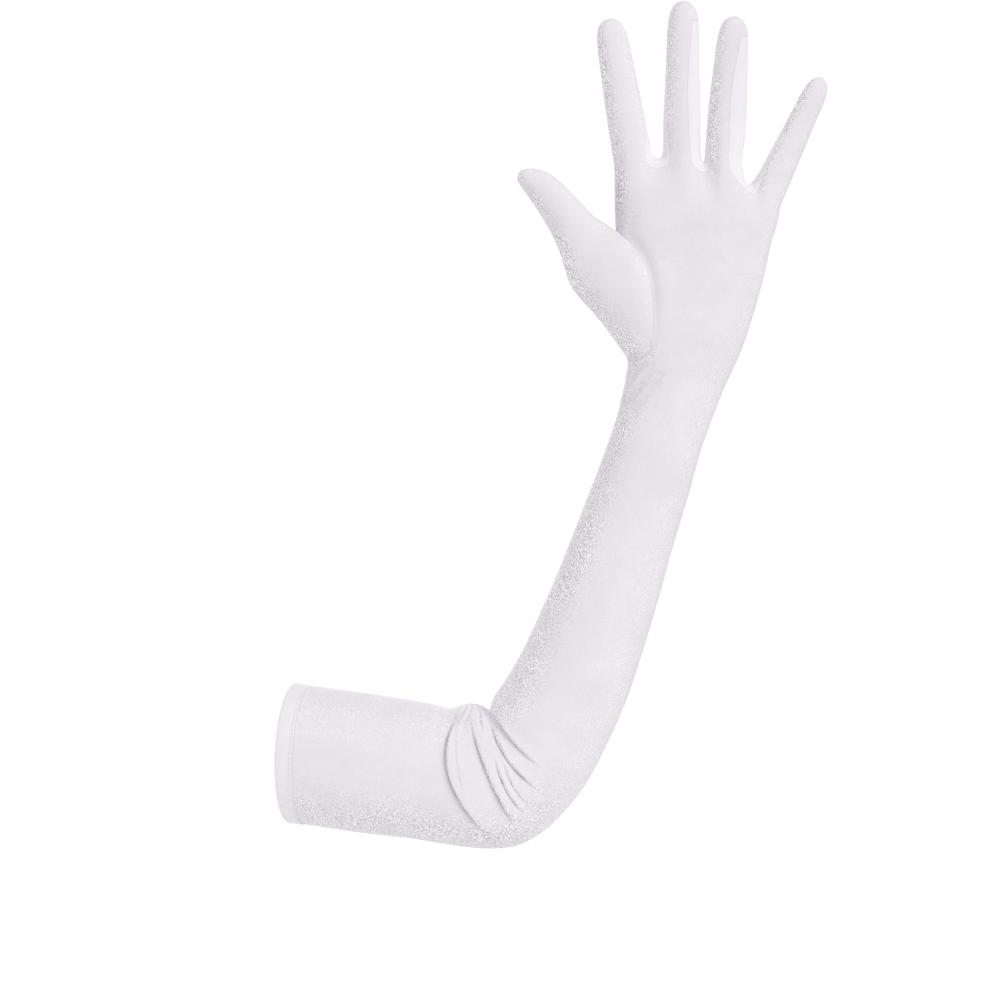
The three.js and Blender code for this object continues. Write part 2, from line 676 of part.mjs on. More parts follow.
// A four-sided face is cut along its shorter diagonal. One with five corners is fanned from its added corner.
function trianglesOf(points, corners) {
  if (corners.length === 4) {
    const [a, b, c, d] = corners;
    return points[a].distanceTo(points[c]) < points[b].distanceTo(points[d])
      ? [[a, b, c], [a, c, d]]
      : [[a, b, d], [b, c, d]];
  }
  const added = corners.indexOf(Math.max(...corners));
  const turned = [...corners.slice(added), ...corners.slice(0, added)];
  return turned.slice(2).map((corner, i) => [turned[0], turned[i + 1], corner]);
}

function buildGlove() {
  const cage = buildCage();
  const fitted = fitToTables(cage);
  const { points: refined, split, kept } = refine(fitted, cage.faces);
  const smooth = limitPoints(refined, split, edgesOf(split));
  const points = pressFolds(smooth, pointNormals(smooth, kept));
  const normals = pointNormals(points, kept);
  const insideTrank = cornersInsideTrank(kept);
  const group = new THREE.Group();
  for (const panel of new Set(kept.map((face) => face.panel))) {
    const faces = kept.filter((face) => face.panel === panel);
    const isHem = panel === "cuff_hem";
    const wall = isHem ? HEM_WALL : CLOTH_WALL;
    const geometry = panelGeometry(points, normals, faces, insideTrank, wall, isHem ? HEM_PROUD : 0);
    const look = isHem ? HEM_VELVET : panel.startsWith("fourchette") ? STRIP_VELVET : VELVET;
    const mesh = new THREE.Mesh(geometry, new THREE.MeshStandardMaterial(look));
    mesh.name = panel;
    group.add(mesh);
  }
  return group;
}

export default buildGlove();
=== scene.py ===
import functools
import math
from typing import NamedTuple

import bpy
import numpy as np
from mathutils.kdtree import KDTree
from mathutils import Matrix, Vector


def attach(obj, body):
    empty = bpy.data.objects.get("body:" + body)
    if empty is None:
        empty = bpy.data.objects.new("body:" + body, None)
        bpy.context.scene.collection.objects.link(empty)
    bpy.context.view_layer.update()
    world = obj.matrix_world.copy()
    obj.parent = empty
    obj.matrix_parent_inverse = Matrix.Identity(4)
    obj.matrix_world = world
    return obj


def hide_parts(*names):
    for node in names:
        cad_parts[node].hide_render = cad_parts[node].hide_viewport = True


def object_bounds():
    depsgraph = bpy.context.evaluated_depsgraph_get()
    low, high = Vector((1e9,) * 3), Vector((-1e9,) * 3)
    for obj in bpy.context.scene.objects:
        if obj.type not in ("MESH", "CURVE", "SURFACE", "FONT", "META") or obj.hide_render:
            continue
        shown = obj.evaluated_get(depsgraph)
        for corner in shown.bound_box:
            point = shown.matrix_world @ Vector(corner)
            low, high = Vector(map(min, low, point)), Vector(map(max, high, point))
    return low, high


bl_info = {
    "name": "Long Velvet Glove",
    "version": (1, 0, 0),
    "blender": (4, 5, 0),
    "location": "3D View > Sidebar > Glove",
    "description": "Builds a long stretch-velvet dress glove, panel by panel, and a plain studio around it",
    "category": "Object",
}

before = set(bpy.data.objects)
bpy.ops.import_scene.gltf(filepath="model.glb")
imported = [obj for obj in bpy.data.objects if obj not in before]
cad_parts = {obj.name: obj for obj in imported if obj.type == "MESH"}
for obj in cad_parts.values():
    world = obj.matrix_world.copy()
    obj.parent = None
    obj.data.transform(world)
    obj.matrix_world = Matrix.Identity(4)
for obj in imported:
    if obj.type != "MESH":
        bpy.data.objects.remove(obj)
CAD_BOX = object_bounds()

# Millimetres to metres. The tables below are a glove-maker's millimetres, everything built is in metres.
MM = 0.001

# Points around the sleeve and palm, around a finger and around the thumb
RING = 26
FINGER_RING = 8
THUMB_RING = 14


class Section(NamedTuple):
    """One section of the sleeve or palm: its edges in x and z on the thumb's side and on the little finger's
    side, the place of its middle in y, its half depth to the palm's side and to the back, how far it leans
    along +X for each millimetre of depth, the steps to the next row, the depth of the palm's hollow, the
    squareness of its shape, the share of the way from even to finger spacing of its points, the place of the
    thumb's seam across it, and how far the two points up to that seam rise above the section."""

    name: str
    inner: tuple
    outer: tuple
    y: float
    front: float
    back: float
    lean: float = 0.0
    steps: int = 1
    hollow: float = 0.0
    square: float = 2.0
    spacing: float = 0.0
    seam: float = 0.0
    rise: tuple = (0.0, 0.0)


def sleeve(name, inner, outer, y, depth, lean, steps):
    """A section of the sleeve, as deep to the palm's side as to the back."""
    return Section(name, inner, outer, y, depth, depth, lean, steps)


SLEEVE = (
    sleeve("cuff_rim", (1.3, 36.2), (-1.3, -36.2), 0, 35, 0.22, 1),
    sleeve("hem_line", (9.4, 34.7), (6.8, -36.5), -3, 35, 0.18, 1),
    sleeve("upper_arm_a", (24.2, 32.9), (21.7, -38.5), -6.5, 34.5, 0.2, 1),
    sleeve("upper_arm_b", (41.6, 30.6), (40.5, -40.8), -10.5, 34, 0.18, 1),
    sleeve("upper_arm_c", (58.9, 28.1), (60.9, -42.8), -14, 33.5, 0.16, 4),
    sleeve("upper_arm_d", (72.2, 25.8), (78.3, -45.4), -16.5, 33, 0.2, 4),
    sleeve("elbow_a", (79.3, 24.0), (92.1, -47.2), -18, 32.5, 0.27, 6),
    sleeve("elbow_b", (84.9, 24.7), (103.3, -47.7), -19, 32.5, 0.33, 6),
    sleeve("elbow_c", (90.0, 26.3), (113.5, -46.7), -19.5, 32.5, 0.28, 6),
    sleeve("elbow_d", (95.1, 25.8), (123.2, -42.8), -20, 32.5, 0.22, 6),
    sleeve("elbow_e", (98.9, 24.0), (131.8, -36.7), -20.5, 32.5, 0.15, 5),
    sleeve("crook", (101.2, 22.8), (139.5, -29.1), -21, 32.5, 0.06, 4),
    sleeve("elbow_f", (102.2, 25.5), (146.1, -21.2), -21.5, 32.5, 0.03, 4),
    sleeve("elbow_g", (103.2, 28.6), (152.0, -12.5), -22, 32, 0.01, 3),
    sleeve("elbow_h", (105.5, 32.6), (157.3, -2.5), -22, 31.5, 0, 2),
    sleeve("forearm_a", (111.2, 41.0), (163.5, 10.2), -22.5, 31, 0, 2),
    sleeve("forearm_b", (120.6, 58.1), (172.9, 32.6), -23, 30, 0, 2),
    sleeve("forearm_c", (135.4, 91.3), (184.9, 70.6), -23, 27.5, 0, 2),
    sleeve("forearm_d", (147.6, 121.9), (194.3, 104.0), -22.5, 24.5, 0, 2),
    sleeve("forearm_e", (158.4, 149.9), (203.2, 133.6), -21.5, 22, 0, 2),
    sleeve("forearm_f", (165.8, 170.8), (210.1, 157.8), -20.5, 20, 0, 2),
    sleeve("wrist_low", (169.6, 185.6), (217.1, 176.5), -19.5, 18.8, 0, 2),
    sleeve("wrist", (171.2, 194.6), (222.3, 189.6), -19, 18.2, 0, 1),
)

PALM = (
    Section("heel", (171.8, 201.2), (229.6, 205.4), -19, 18.5, 16.5, hollow=1, square=2.1, spacing=0.15,
            seam=0.185, rise=(-1, 3.4)),
    Section("thumb_low", (167.5, 226.0), (236.8, 227.0), -19, 18, 15, hollow=2.5, square=2.2, spacing=0.35,
            seam=0.245),
    Section("thumb_high", (166.0, 248.4), (242.5, 248.4), -19, 16, 14, hollow=3, square=2.3, spacing=0.55,
            seam=0.195),
    Section("thumb_crotch", (165.8, 268.3), (245.6, 262.6), -19, 14.5, 13.5, hollow=2, square=2.4,
            spacing=0.75, seam=0.085, rise=(-2.9, -6.2)),
    Section("palm_top", (165.3, 283.0), (248.4, 271.2), -19, 13, 13, hollow=0.6, square=2.4, spacing=0.9),
)
# The palm's hollow: place of its middle across the palm and its reach, as shares of the width. The point
# before the thumb's seam lies at the last share of the way to it.
HOLLOW_MIDDLE = 0.45
HOLLOW_REACH = 0.22
FIRST_POINT_BEFORE_SEAM = 0.42


class Finger(NamedTuple):
    """Middle of the root and the tip in x and z, bend of the tip to the palm's side, the angle by which the
    palm's seams turn to the thumb's side at the root, the angle by which all the cloth is twisted that way at
    the tip, and the finger's width at its root, half way and near its tip."""

    name: str
    root: tuple
    tip: tuple
    bend: float
    turn: float
    twist: float
    width: tuple


FINGERS = (
    Finger("index", (175.4, 299.4), (162.2, 375.3), 5, 0, -50, (20.6, 18.8, 16.2)),
    Finger("middle", (199.4, 301.4), (200.3, 384.3), 6, 6, 28, (19.8, 17.8, 15.5)),
    Finger("ring", (220.7, 297.3), (226.1, 376.4), 6, 18, 30, (19.7, 18.8, 15.4)),
    Finger("little", (241.6, 283.0), (270.9, 345.2), 4, 0, 25, (18.2, 14.8, 12.0)),
)
# All fingers: where they lie in y, their depth as a share of their width, the places of their middle and last
# width, how far the webs between them rise, and how far their roots drop on the back
FINGER_Y = -19
FINGER_DEPTH_SHARE = 0.94
FINGER_HALF = 0.5
FINGER_END = 0.87
WEB_RISE = 4.5
KNUCKLE_DROP = 3


class FingerSection(NamedTuple):
    """Place along the finger, width as a share of the tapered width there, and angle from the finger's side
    to its seams."""

    along: float
    size: float
    seam: float


FINGER_SECTIONS = (
    FingerSection(0, 1, 54),
    FingerSection(0.2, 1, 54),
    FingerSection(0.44, 1, 50),
    FingerSection(0.68, 1, 40),
    FingerSection(0.87, 1, 27),
    FingerSection(0.96, 0.74, 32),
)
# Rows of faces along a finger whose sides belong to the strips, and the columns of faces that make its sides:
# the inner one to the thumb, the outer one to the little finger
FOURCHETTE_ROWS = 4
INNER_SIDE = (7, 0)
OUTER_SIDE = (3, 4)


class ThumbSection(NamedTuple):
    """Edges on the wrist's side (low) and on the index finger's side (high) in x and z, the place of the
    middle in y, the half depth, how far the ball of the thumb leans over the palm, and the squareness."""

    name: str
    low: tuple
    high: tuple
    y: float
    depth: float
    lean: float = 0.0
    square: float = 2.0


THUMB = (
    ThumbSection("mound", (167.2, 208.6), (165.2, 267.4), -21.5, 17.5, 11, 2.3),
    ThumbSection("ball", (158.0, 221.0), (163.6, 268.6), -23, 18.5, 4, 2.3),
    ThumbSection("above_ball", (147.4, 232.8), (160.4, 270.9), -25.2, 15.8, 1),
    ThumbSection("middle", (141.3, 242.4), (156.4, 273.0), -27.2, 13.4),
    ThumbSection("joint", (136.4, 257.8), (150.9, 278.0), -29, 11.6),
    ThumbSection("above_joint", (128.6, 272.6), (142.6, 286.6), -31, 10.2),
    ThumbSection("nail", (122.7, 281.7), (134.9, 293.5), -32, 8.6),
    ThumbSection("end", (117.6, 288.7), (126.8, 297.7), -33, 6.6),
    ThumbSection("cap", (115.6, 292.4), (120.3, 298.0), -33.5, 4),
)
# The tip, and the thumb's opening in the palm: its first and last row, and its columns on each side
THUMB_TIP = (116.8, -33.7, 296.6)
THUMB_ROW_LOW = 0
THUMB_ROW_HIGH = 3
THUMB_COLUMNS = 2


class Fold(NamedTuple):
    """A crease in x and z from start to end, pulled towards bend: depth of its groove, height of the lip of
    cloth that lies over it and how wide that lip is, the side on which the lip lies (1 left, -1 right of the
    way from start to end), and the share of the fold that shows on the back."""

    name: str
    start: tuple
    bend: tuple
    end: tuple
    groove: float
    lip: float
    width: float
    side: int
    back: float


FOLDS = (
    Fold("elbow_first", (87, 24), (65.5, -7), (104, -43), 1.5, 1.6, 5.5, 1, 0.6),
    Fold("elbow_first_soft", (86, 18), (82, 0), (90, -22), 0.1, 0.5, 3.0, 1, 0.5),
    Fold("elbow_second", (91.5, 19), (99, -10), (113.5, -34), 1.3, 1.5, 5.0, 1, 0.6),
    Fold("elbow_third", (101.5, 19), (107.5, -3), (126, -16), 1.1, 1.1, 2.8, 1, 0.6),
    Fold("elbow_fourth", (102, 24), (109, 10.5), (126, -4), 1.2, 1.2, 3.2, 1, 0.6),
    Fold("elbow_fifth", (104, 0), (109, -19), (118.5, -27.5), 1.0, 1.0, 2.6, 1, 0.3),
    Fold("elbow_sixth", (108, 0), (111, -14), (120, -23), 0.4, 0.6, 2.2, 1, 0.2),
    Fold("nub_left", (91.5, 28), (87.5, 23), (82.5, 14), 0.6, 1.0, 1.5, -1, 0.5),
    Fold("nub_middle", (94, 28), (90.5, 22), (87, 14), 0.6, 0.9, 1.5, -1, 0.5),
    Fold("nub_right", (97, 27), (96, 22), (98, 14), 0.5, 0.8, 1.6, 1, 0.5),
    Fold("wrist", (161, 200.5), (179.5, 197.5), (184.5, 210), 2.0, 1.6, 3.4, 1, 0.4),
    Fold("wrist_low", (167, 177), (175, 186), (186, 202), 0.4, 1.9, 2.6, 1, 0.3),
    Fold("wrist_lower", (170, 173), (180, 182), (192, 198), 0.3, 1.7, 2.4, 1, 0.3),
    Fold("wrist_side", (188, 163), (191, 170), (195, 175), 0.1, 0.4, 2.2, 1, 0.0),
)
# Every fold: half width of its groove in millimetres, how far the cloth beside the groove sinks as a share of
# the lip, what is left of the fold at its ends, how fast it fades towards them and towards the glove's sides,
# and the steps along its curve
GROOVE_HALF = 0.6
FOLD_SINK = 0.45
FOLD_END_SHARE = 0.1
FOLD_FADE = 4.0
SIDE_FADE = 2.0
FOLD_STEPS = 96

# Rounds that fit the cage to the tables, levels of its subdivision, and steps round a rolled edge
FIT_ROUNDS = 16
SUBDIVISIONS = 2
ROLL_STEPS = 4

# Keeps the normals of points without a face at zero: those of the palm inside the thumb's opening
TINY = 1e-12


class GloveSizes(bpy.types.PropertyGroup):
    """Cloth, seams and folds"""

    wall: bpy.props.FloatProperty(
        name="Cloth", description="Thickness of the velvet with its pile", default=1.1 * MM, unit="LENGTH")
    hem_wall: bpy.props.FloatProperty(
        name="Hem", description="Thickness of the folded hem", default=1.9 * MM, unit="LENGTH")
    hem_proud: bpy.props.FloatProperty(
        name="Hem proud", description="How far the hem stands out of the sleeve", default=0.12 * MM,
        unit="LENGTH")
    seam_gap: bpy.props.FloatProperty(
        name="Seam gap", description="Gap between two panels at their seam", default=0.03 * MM, unit="LENGTH")
    seam_round: bpy.props.FloatProperty(
        name="Seam roll", description="How far a panel's edge rolls over", default=0.04 * MM, unit="LENGTH")
    seam_pinch: bpy.props.FloatProperty(
        name="Seam pinch", description="How deep a seam draws the cloth in", default=0.12 * MM, unit="LENGTH")
    seam_width: bpy.props.FloatProperty(
        name="Seam width", description="Half width of the valley at a seam", default=1.4 * MM, unit="LENGTH")
    fold_depth: bpy.props.FloatProperty(
        name="Fold depth", description="Depth of the folds, as a share of the fitted depth", default=1.0,
        subtype="FACTOR", min=0.0, max=1.5)
    stitch_pitch: bpy.props.FloatProperty(
        name="Stitch pitch", description="Distance from stitch to stitch on the hem", default=2.6 * MM,
        unit="LENGTH")
    stitch_radius: bpy.props.FloatProperty(
        name="Thread radius", description="Radius of the hem's sewing thread", default=0.17 * MM,
        unit="LENGTH")


class GloveFinish(bpy.types.PropertyGroup):
    """Colours and pile of the velvet"""

    velvet: bpy.props.FloatVectorProperty(
        name="Velvet", description="Colour of the palm, back and sleeve", default=(0.873, 0.835, 0.885),
        subtype="COLOR", min=0, max=1)
    # The strips' colour is lighter than the velvet's, though they are the same cloth: painted sheen of their
    # pile, which runs another way
    strip: bpy.props.FloatVectorProperty(
        name="Strips", description="Colour of the strips between the fingers", default=(0.905, 0.885, 0.92),
        subtype="COLOR", min=0, max=1)
    # The hem's colour is lighter than the velvet's, though it is the same cloth folded: painted light on the
    # hem, whose front turns away from the key light
    hem: bpy.props.FloatVectorProperty(
        name="Hem", description="Colour of the folded hem", default=(0.905, 0.875, 0.93),
        subtype="COLOR", min=0, max=1)
    thread: bpy.props.FloatVectorProperty(
        name="Thread", description="Colour of the sewing thread", default=(0.86, 0.86, 0.88),
        subtype="COLOR", min=0, max=1)
    pile_grain: bpy.props.FloatProperty(
        name="Pile grain", description="Size of the sparkling grain of the pile", default=0.65 * MM,
        unit="LENGTH")
    pile_height: bpy.props.FloatProperty(
        name="Pile height", description="Height of the pile's relief", default=0.25 * MM, unit="LENGTH")


class GloveStudio(bpy.types.PropertyGroup):
    """Camera, lights and floor"""

    pixel: bpy.props.FloatProperty(
        name="Pixel", description="Size of one pixel of the picture on the glove", default=0.51 * MM,
        unit="LENGTH")
    camera_distance: bpy.props.FloatProperty(
        name="Camera distance", description="Distance from the camera to the glove", default=2.2,
        unit="LENGTH")
    key_power: bpy.props.FloatProperty(
        name="Key light", description="Power of the main soft light", default=91.0, unit="POWER")
    fill_power: bpy.props.FloatProperty(
        name="Fill light", description="Power of the soft light from the other side", default=40.0,
        unit="POWER")
    top_power: bpy.props.FloatProperty(
        name="Top light", description="Power of the soft light from above", default=7.0, unit="POWER")
    back_power: bpy.props.FloatProperty(
        name="Back light", description="Power of the soft light from behind", default=45.0, unit="POWER")
    world_light: bpy.props.FloatProperty(
        name="Room light", description="Strength of the even light from all round", default=0.555, min=0)
    floor_drop: bpy.props.FloatProperty(
        name="Floor drop", description="Height of the glove over the floor", default=0.14, unit="LENGTH")
    floor_color: bpy.props.FloatVectorProperty(
        name="Floor", description="Colour of the plain pale floor", default=(0.93, 0.93, 0.93),
        subtype="COLOR", min=0, max=1)


def sizes():
    return bpy.context.scene.glove_sizes


def finish():
    return bpy.context.scene.glove_finish


def studio():
    return bpy.context.scene.glove_studio


def mix(a, b, t):
    return a + (b - a) * t


def between(a, b, c, d, t):
    """Smooth curve through four even values, from b to c."""
    slope_in = (c - a) / 2
    slope_out = (d - b) / 2
    t2, t3 = t * t, t * t * t
    return ((2 * t3 - 3 * t2 + 1) * b + (t3 - 2 * t2 + t) * slope_in
            + (3 * t2 - 2 * t3) * c + (t3 - t2) * slope_out)


def row_between(table, index, t):
    """A row between two rows of a table, with every number and pair carried smoothly."""
    rows = [table[min(max(index + shift, 0), len(table) - 1)] for shift in (-1, 0, 1, 2)]
    values = {}
    for field in table[index]._fields:
        four = [getattr(row, field) for row in rows]
        if isinstance(four[0], tuple):
            values[field] = tuple(between(*(v[axis] for v in four), t) for axis in range(2))
        elif not isinstance(four[0], str):
            values[field] = between(*four, t)
    return table[index]._replace(**values)


def even_spacing():
    """Places of the points of an evenly divided round section, as shares of the way across it."""
    return np.array([(1 - math.cos(2 * math.pi * (i + 1) / RING)) / 2 for i in range(RING // 2 - 1)])


def palm_angles(finger, section):
    """Angles from a finger's inner side to its two seams on the palm's side and to the middle between them.
    Their turn fades out towards the tip."""
    turn = finger.turn * (1 - section.along * section.along)
    return [degrees - turn for degrees in (section.seam, 90, 180 - section.seam)]


def finger_spacing():
    """Places of the points under the fingers, as shares of the way across the palm."""
    left = FINGERS[0].root[0] - FINGERS[0].width[0] / 2
    right = FINGERS[-1].root[0] + FINGERS[-1].width[0] / 2
    spots = [
        finger.root[0] - math.cos(math.radians(degrees)) * finger.width[0] / 2
        for finger in FINGERS for degrees in palm_angles(finger, FINGER_SECTIONS[0])]
    return (np.array(spots) - left) / (right - left)


def ring_points(row):
    """One closed section of 26 points: 0 on the thumb's side, 1 to 12 over the palm, 13 on the little
    finger's side and 14 to 25 back over the hand."""
    inner = np.array((row.inner[0], row.y, row.inner[1]))
    outer = np.array((row.outer[0], row.y, row.outer[1]))
    middle, across = (inner + outer) / 2, (outer - inner) / 2
    deep = np.array((row.lean, 1, 0))
    spacing = mix(even_spacing(), finger_spacing(), row.spacing)
    if row.seam:
        spread = row.seam + (spacing - spacing[1]) * (1 - row.seam) / (1 - spacing[1])
        spacing = np.concatenate(([row.seam * FIRST_POINT_BEFORE_SEAM], spread[1:]))
    along = 2 * spacing - 1
    height = (1 - np.abs(along) ** row.square) ** (1 / row.square)
    dip = row.hollow * np.exp(-((spacing - HOLLOW_MIDDLE) / HOLLOW_REACH) ** 2)
    line = middle + along[:, None] * across
    line[:2, 2] += row.rise
    front = line - (height * row.front - dip)[:, None] * deep
    back = line + (height * row.back)[:, None] * deep
    return [inner, *front, outer, *back[::-1]]


def finger_points(finger, section):
    """The eight points of a finger's section: inner side, three over the palm's side, outer side, three
    behind."""
    root, tip = np.array(finger.root), np.array(finger.tip)
    length = np.linalg.norm(tip - root)
    axis = (tip - root) / length
    t = section.along
    first, half, end = finger.width
    if t < FINGER_HALF:
        tapered = mix(first, half, t / FINGER_HALF)
    else:
        tapered = mix(half, end, (t - FINGER_HALF) / (FINGER_END - FINGER_HALF))
    radius = min(tapered, first) * section.size / 2
    middle = root + axis * length * t
    seam = section.seam
    twist = finger.twist * t * (2 - t)
    points = []
    for degrees in (0, *palm_angles(finger, section), 180, 180 + seam, 270, 360 - seam):
        angle = math.radians(degrees - twist)
        side = -radius * math.cos(angle)
        depth = -radius * FINGER_DEPTH_SHARE * math.sin(angle)
        points.append(np.array((
            middle[0] + side * axis[1], FINGER_Y - finger.bend * t * t + depth, middle[1] - side * axis[0])))
    return points


def thumb_points(section):
    """The points of one section of the thumb, from its high side over the front."""
    low = np.array((section.low[0], section.y, section.low[1]))
    high = np.array((section.high[0], section.y, section.high[1]))
    middle, up = (low + high) / 2, (high - low) / 2
    angles = 2 * math.pi * np.arange(THUMB_RING) / THUMB_RING
    rise, forward = (np.sign(v) * np.abs(v) ** (2 / section.square) for v in (np.cos(angles), np.sin(angles)))
    points = middle + rise[:, None] * up
    points[:, 0] += section.lean * forward ** 2
    points[:, 1] -= section.depth * forward
    return list(points)


STRIPS = tuple(f"fourchette_{a.name}_{b.name}" for a, b in zip(FINGERS, FINGERS[1:]))
PANELS = ("trank", "thumb", *STRIPS, "cuff_hem")


class Cage:
    """Points that the smooth surface passes through, and four-sided faces with the panel that each is in."""

    def __init__(self):
        self.points = []
        self.faces = []
        self.panels = []

    def add_points(self, points):
        first = len(self.points)
        self.points.extend(points)
        return list(range(first, len(self.points)))

    def add_face(self, panel, *corners):
        self.faces.append(corners)
        self.panels.append(PANELS.index(panel))


def build_cage():
    cage = Cage()
    rings = []
    for index, row in enumerate(SLEEVE):
        for step in range(row.steps):
            rings.append(cage.add_points(ring_points(row_between(SLEEVE, index, step / row.steps))))
    heel = len(rings)
    rings += [cage.add_points(ring_points(row)) for row in PALM]
    fingers = [[cage.add_points(finger_points(finger, s)) for s in FINGER_SECTIONS] for finger in FINGERS]
    rings.append(knuckle_ring(cage, [sections[0] for sections in fingers]))
    add_sleeve_and_palm(cage, rings, heel)
    add_fingers(cage, fingers)
    add_thumb(cage, rings, heel)
    return cage


def knuckle_ring(cage, roots):
    """The roots of the fingers give the last ring of the palm. Their side points lie higher, in the webs."""
    for finger, root in enumerate(roots):
        webs = ([root[0]] if finger > 0 else []) + ([root[4]] if finger + 1 < len(roots) else [])
        for point in webs:
            cage.points[point][2] += WEB_RISE
        for point in root[5:]:
            cage.points[point][2] -= KNUCKLE_DROP
    front = [point for root in roots for point in root[1:4]]
    back = [point for root in reversed(roots) for point in root[5:8]]
    return [roots[0][0], *front, roots[-1][4], *back]


def add_sleeve_and_palm(cage, rings, heel):
    for ring in range(len(rings) - 1):
        beside_thumb = heel + THUMB_ROW_LOW <= ring < heel + THUMB_ROW_HIGH
        for column in range(RING):
            if beside_thumb and (column < THUMB_COLUMNS or column >= RING - THUMB_COLUMNS):
                continue
            after = (column + 1) % RING
            here, there = rings[ring], rings[ring + 1]
            panel = "cuff_hem" if ring == 0 else "trank"
            cage.add_face(panel, here[column], here[after], there[after], there[column])


def add_cap(cage, panel, ring, top):
    """Faces from every second point of a ring to a point in its middle."""
    for j in range(0, len(ring), 2):
        cage.add_face(panel, ring[j], ring[j + 1], ring[(j + 2) % len(ring)], top)


def add_fingers(cage, fingers):
    """Fourchettes are the facing sides of two fingers up to their last full section, and the web between."""
    for finger, sections in enumerate(fingers):
        for row, (here, there) in enumerate(zip(sections, sections[1:])):
            for j in range(FINGER_RING):
                panel = "trank"
                if row < FOURCHETTE_ROWS and j in OUTER_SIDE and finger < len(STRIPS):
                    panel = STRIPS[finger]
                elif row < FOURCHETTE_ROWS and j in INNER_SIDE and finger > 0:
                    panel = STRIPS[finger - 1]
                after = (j + 1) % FINGER_RING
                cage.add_face(panel, here[j], here[after], there[after], there[j])
        tip, bend = FINGERS[finger].tip, FINGERS[finger].bend
        top = cage.add_points([np.array((tip[0], FINGER_Y - bend, tip[1]))])[0]
        add_cap(cage, "trank", sections[-1], top)
        if finger < len(STRIPS):
            here, there = sections[0], fingers[finger + 1][0]
            cage.add_face(STRIPS[finger], here[3], there[1], there[0], here[4])
            cage.add_face(STRIPS[finger], here[4], there[0], there[7], here[5])


def add_thumb(cage, rings, heel):
    """The thumb grows from the edge of its opening, walked from the top centre over the front."""
    low, high, side = heel + THUMB_ROW_LOW, heel + THUMB_ROW_HIGH, THUMB_COLUMNS
    walk = [(high, column) for column in range(side)]
    walk += [(ring, side) for ring in range(high, low, -1)]
    walk += [(low, column) for column in range(side, -side, -1)]
    walk += [(ring, -side) for ring in range(low, high)]
    walk += [(high, column) for column in range(-side, 0)]
    sections = [[rings[ring][column % RING] for ring, column in walk]]
    sections += [cage.add_points(thumb_points(section)) for section in THUMB]
    for here, there in zip(sections, sections[1:]):
        for j in range(THUMB_RING):
            after = (j + 1) % THUMB_RING
            cage.add_face("thumb", here[after], here[j], there[j], there[after])
    top = cage.add_points([np.array(THUMB_TIP)])[0]
    add_cap(cage, "thumb", sections[-1][::-1], top)


def face_edges(faces):
    """The four edges of every face, each in the direction of its face."""
    return np.concatenate([np.stack((faces[:, i], faces[:, (i + 1) % 4]), axis=1) for i in range(4)])


def limit_points(points, faces, edges, counts):
    """Where a smooth subdivision surface takes each point of its cage."""
    total = np.zeros_like(points)
    valence = np.zeros(len(points))
    rim = np.zeros_like(points)
    for here, there in ((0, 1), (1, 0)):
        np.add.at(total, edges[:, here], 4 * points[edges[:, there]])
        np.add.at(valence, edges[:, here], 1)
        cut = edges[counts == 1]
        np.add.at(rim, cut[:, here], points[cut[:, there]])
    for i in range(4):
        np.add.at(total, faces[:, i], points[faces[:, (i + 2) % 4]])
    n = np.maximum(valence, 1)[:, None]
    limit = (total + n * n * points) / (n * (n + 5))
    on_rim = np.isin(np.arange(len(points)), edges[counts == 1])
    limit[on_rim] = (rim[on_rim] + 4 * points[on_rim]) / 6
    return limit


def fitted_cage():
    """Cage whose smooth surface passes through the points of the tables."""
    cage = build_cage()
    targets = np.array(cage.points) * MM
    faces = np.array(cage.faces)
    edges, counts = np.unique(np.sort(face_edges(faces), axis=1), axis=0, return_counts=True)
    points = targets.copy()
    for _ in range(FIT_ROUNDS):
        points += targets - limit_points(points, faces, edges, counts)
    return points, faces, np.array(cage.panels)


def read_array(items, field, kind, width=1):
    """One field of all points, edges, corners or faces of a mesh."""
    values = np.empty(len(items) * width, dtype=kind)
    items.foreach_get(field, values)
    return values


def smooth_surface(points, faces, panels):
    """The cage subdivided by Blender, as arrays of points, faces and panels."""
    mesh = bpy.data.meshes.new("cage")
    mesh.from_pydata(points.tolist(), [], faces.tolist())
    for panel in PANELS:
        mesh.materials.append(bpy.data.materials.new(f"panel_{panel}"))
    mesh.polygons.foreach_set("material_index", panels)
    cage = bpy.data.objects.new("cage", mesh)
    bpy.context.scene.collection.objects.link(cage)
    smoother = cage.modifiers.new("smooth", "SUBSURF")
    smoother.levels = smoother.render_levels = SUBDIVISIONS
    smoother.boundary_smooth = "ALL"
    smoother.use_limit_surface = True
    graph = bpy.context.evaluated_depsgraph_get()
    fine = bpy.data.meshes.new_from_object(cage.evaluated_get(graph))
    surface_points = read_array(fine.vertices, "co", float, 3).reshape(-1, 3)
    surface_faces = read_array(fine.loops, "vertex_index", int).reshape(-1, 4)
    surface_panels = read_array(fine.polygons, "material_index", int)
    markers = list(mesh.materials)
    bpy.data.objects.remove(cage)
    bpy.data.meshes.remove(mesh)
    bpy.data.meshes.remove(fine)
    for marker in markers:
        bpy.data.materials.remove(marker)
    return surface_points, surface_faces, surface_panels


def point_normals(points, faces):
    """Outward normals, with the faces round a point weighed by their area."""
    a, b, c, d = (points[faces[:, i]] for i in range(4))
    across = np.cross(c - a, d - b)
    normals = np.zeros_like(points)
    for i in range(4):
        np.add.at(normals, faces[:, i], across)
    return normals / np.maximum(np.linalg.norm(normals, axis=1), TINY)[:, None]


def fold_curve(fold):
    """Points along a fold in x and z."""
    t = np.linspace(0, 1, FOLD_STEPS + 1)[:, None]
    start, bend, end = (np.array(p) * MM for p in (fold.start, fold.bend, fold.end))
    return (1 - t) ** 2 * start + 2 * t * (1 - t) * bend + t * t * end


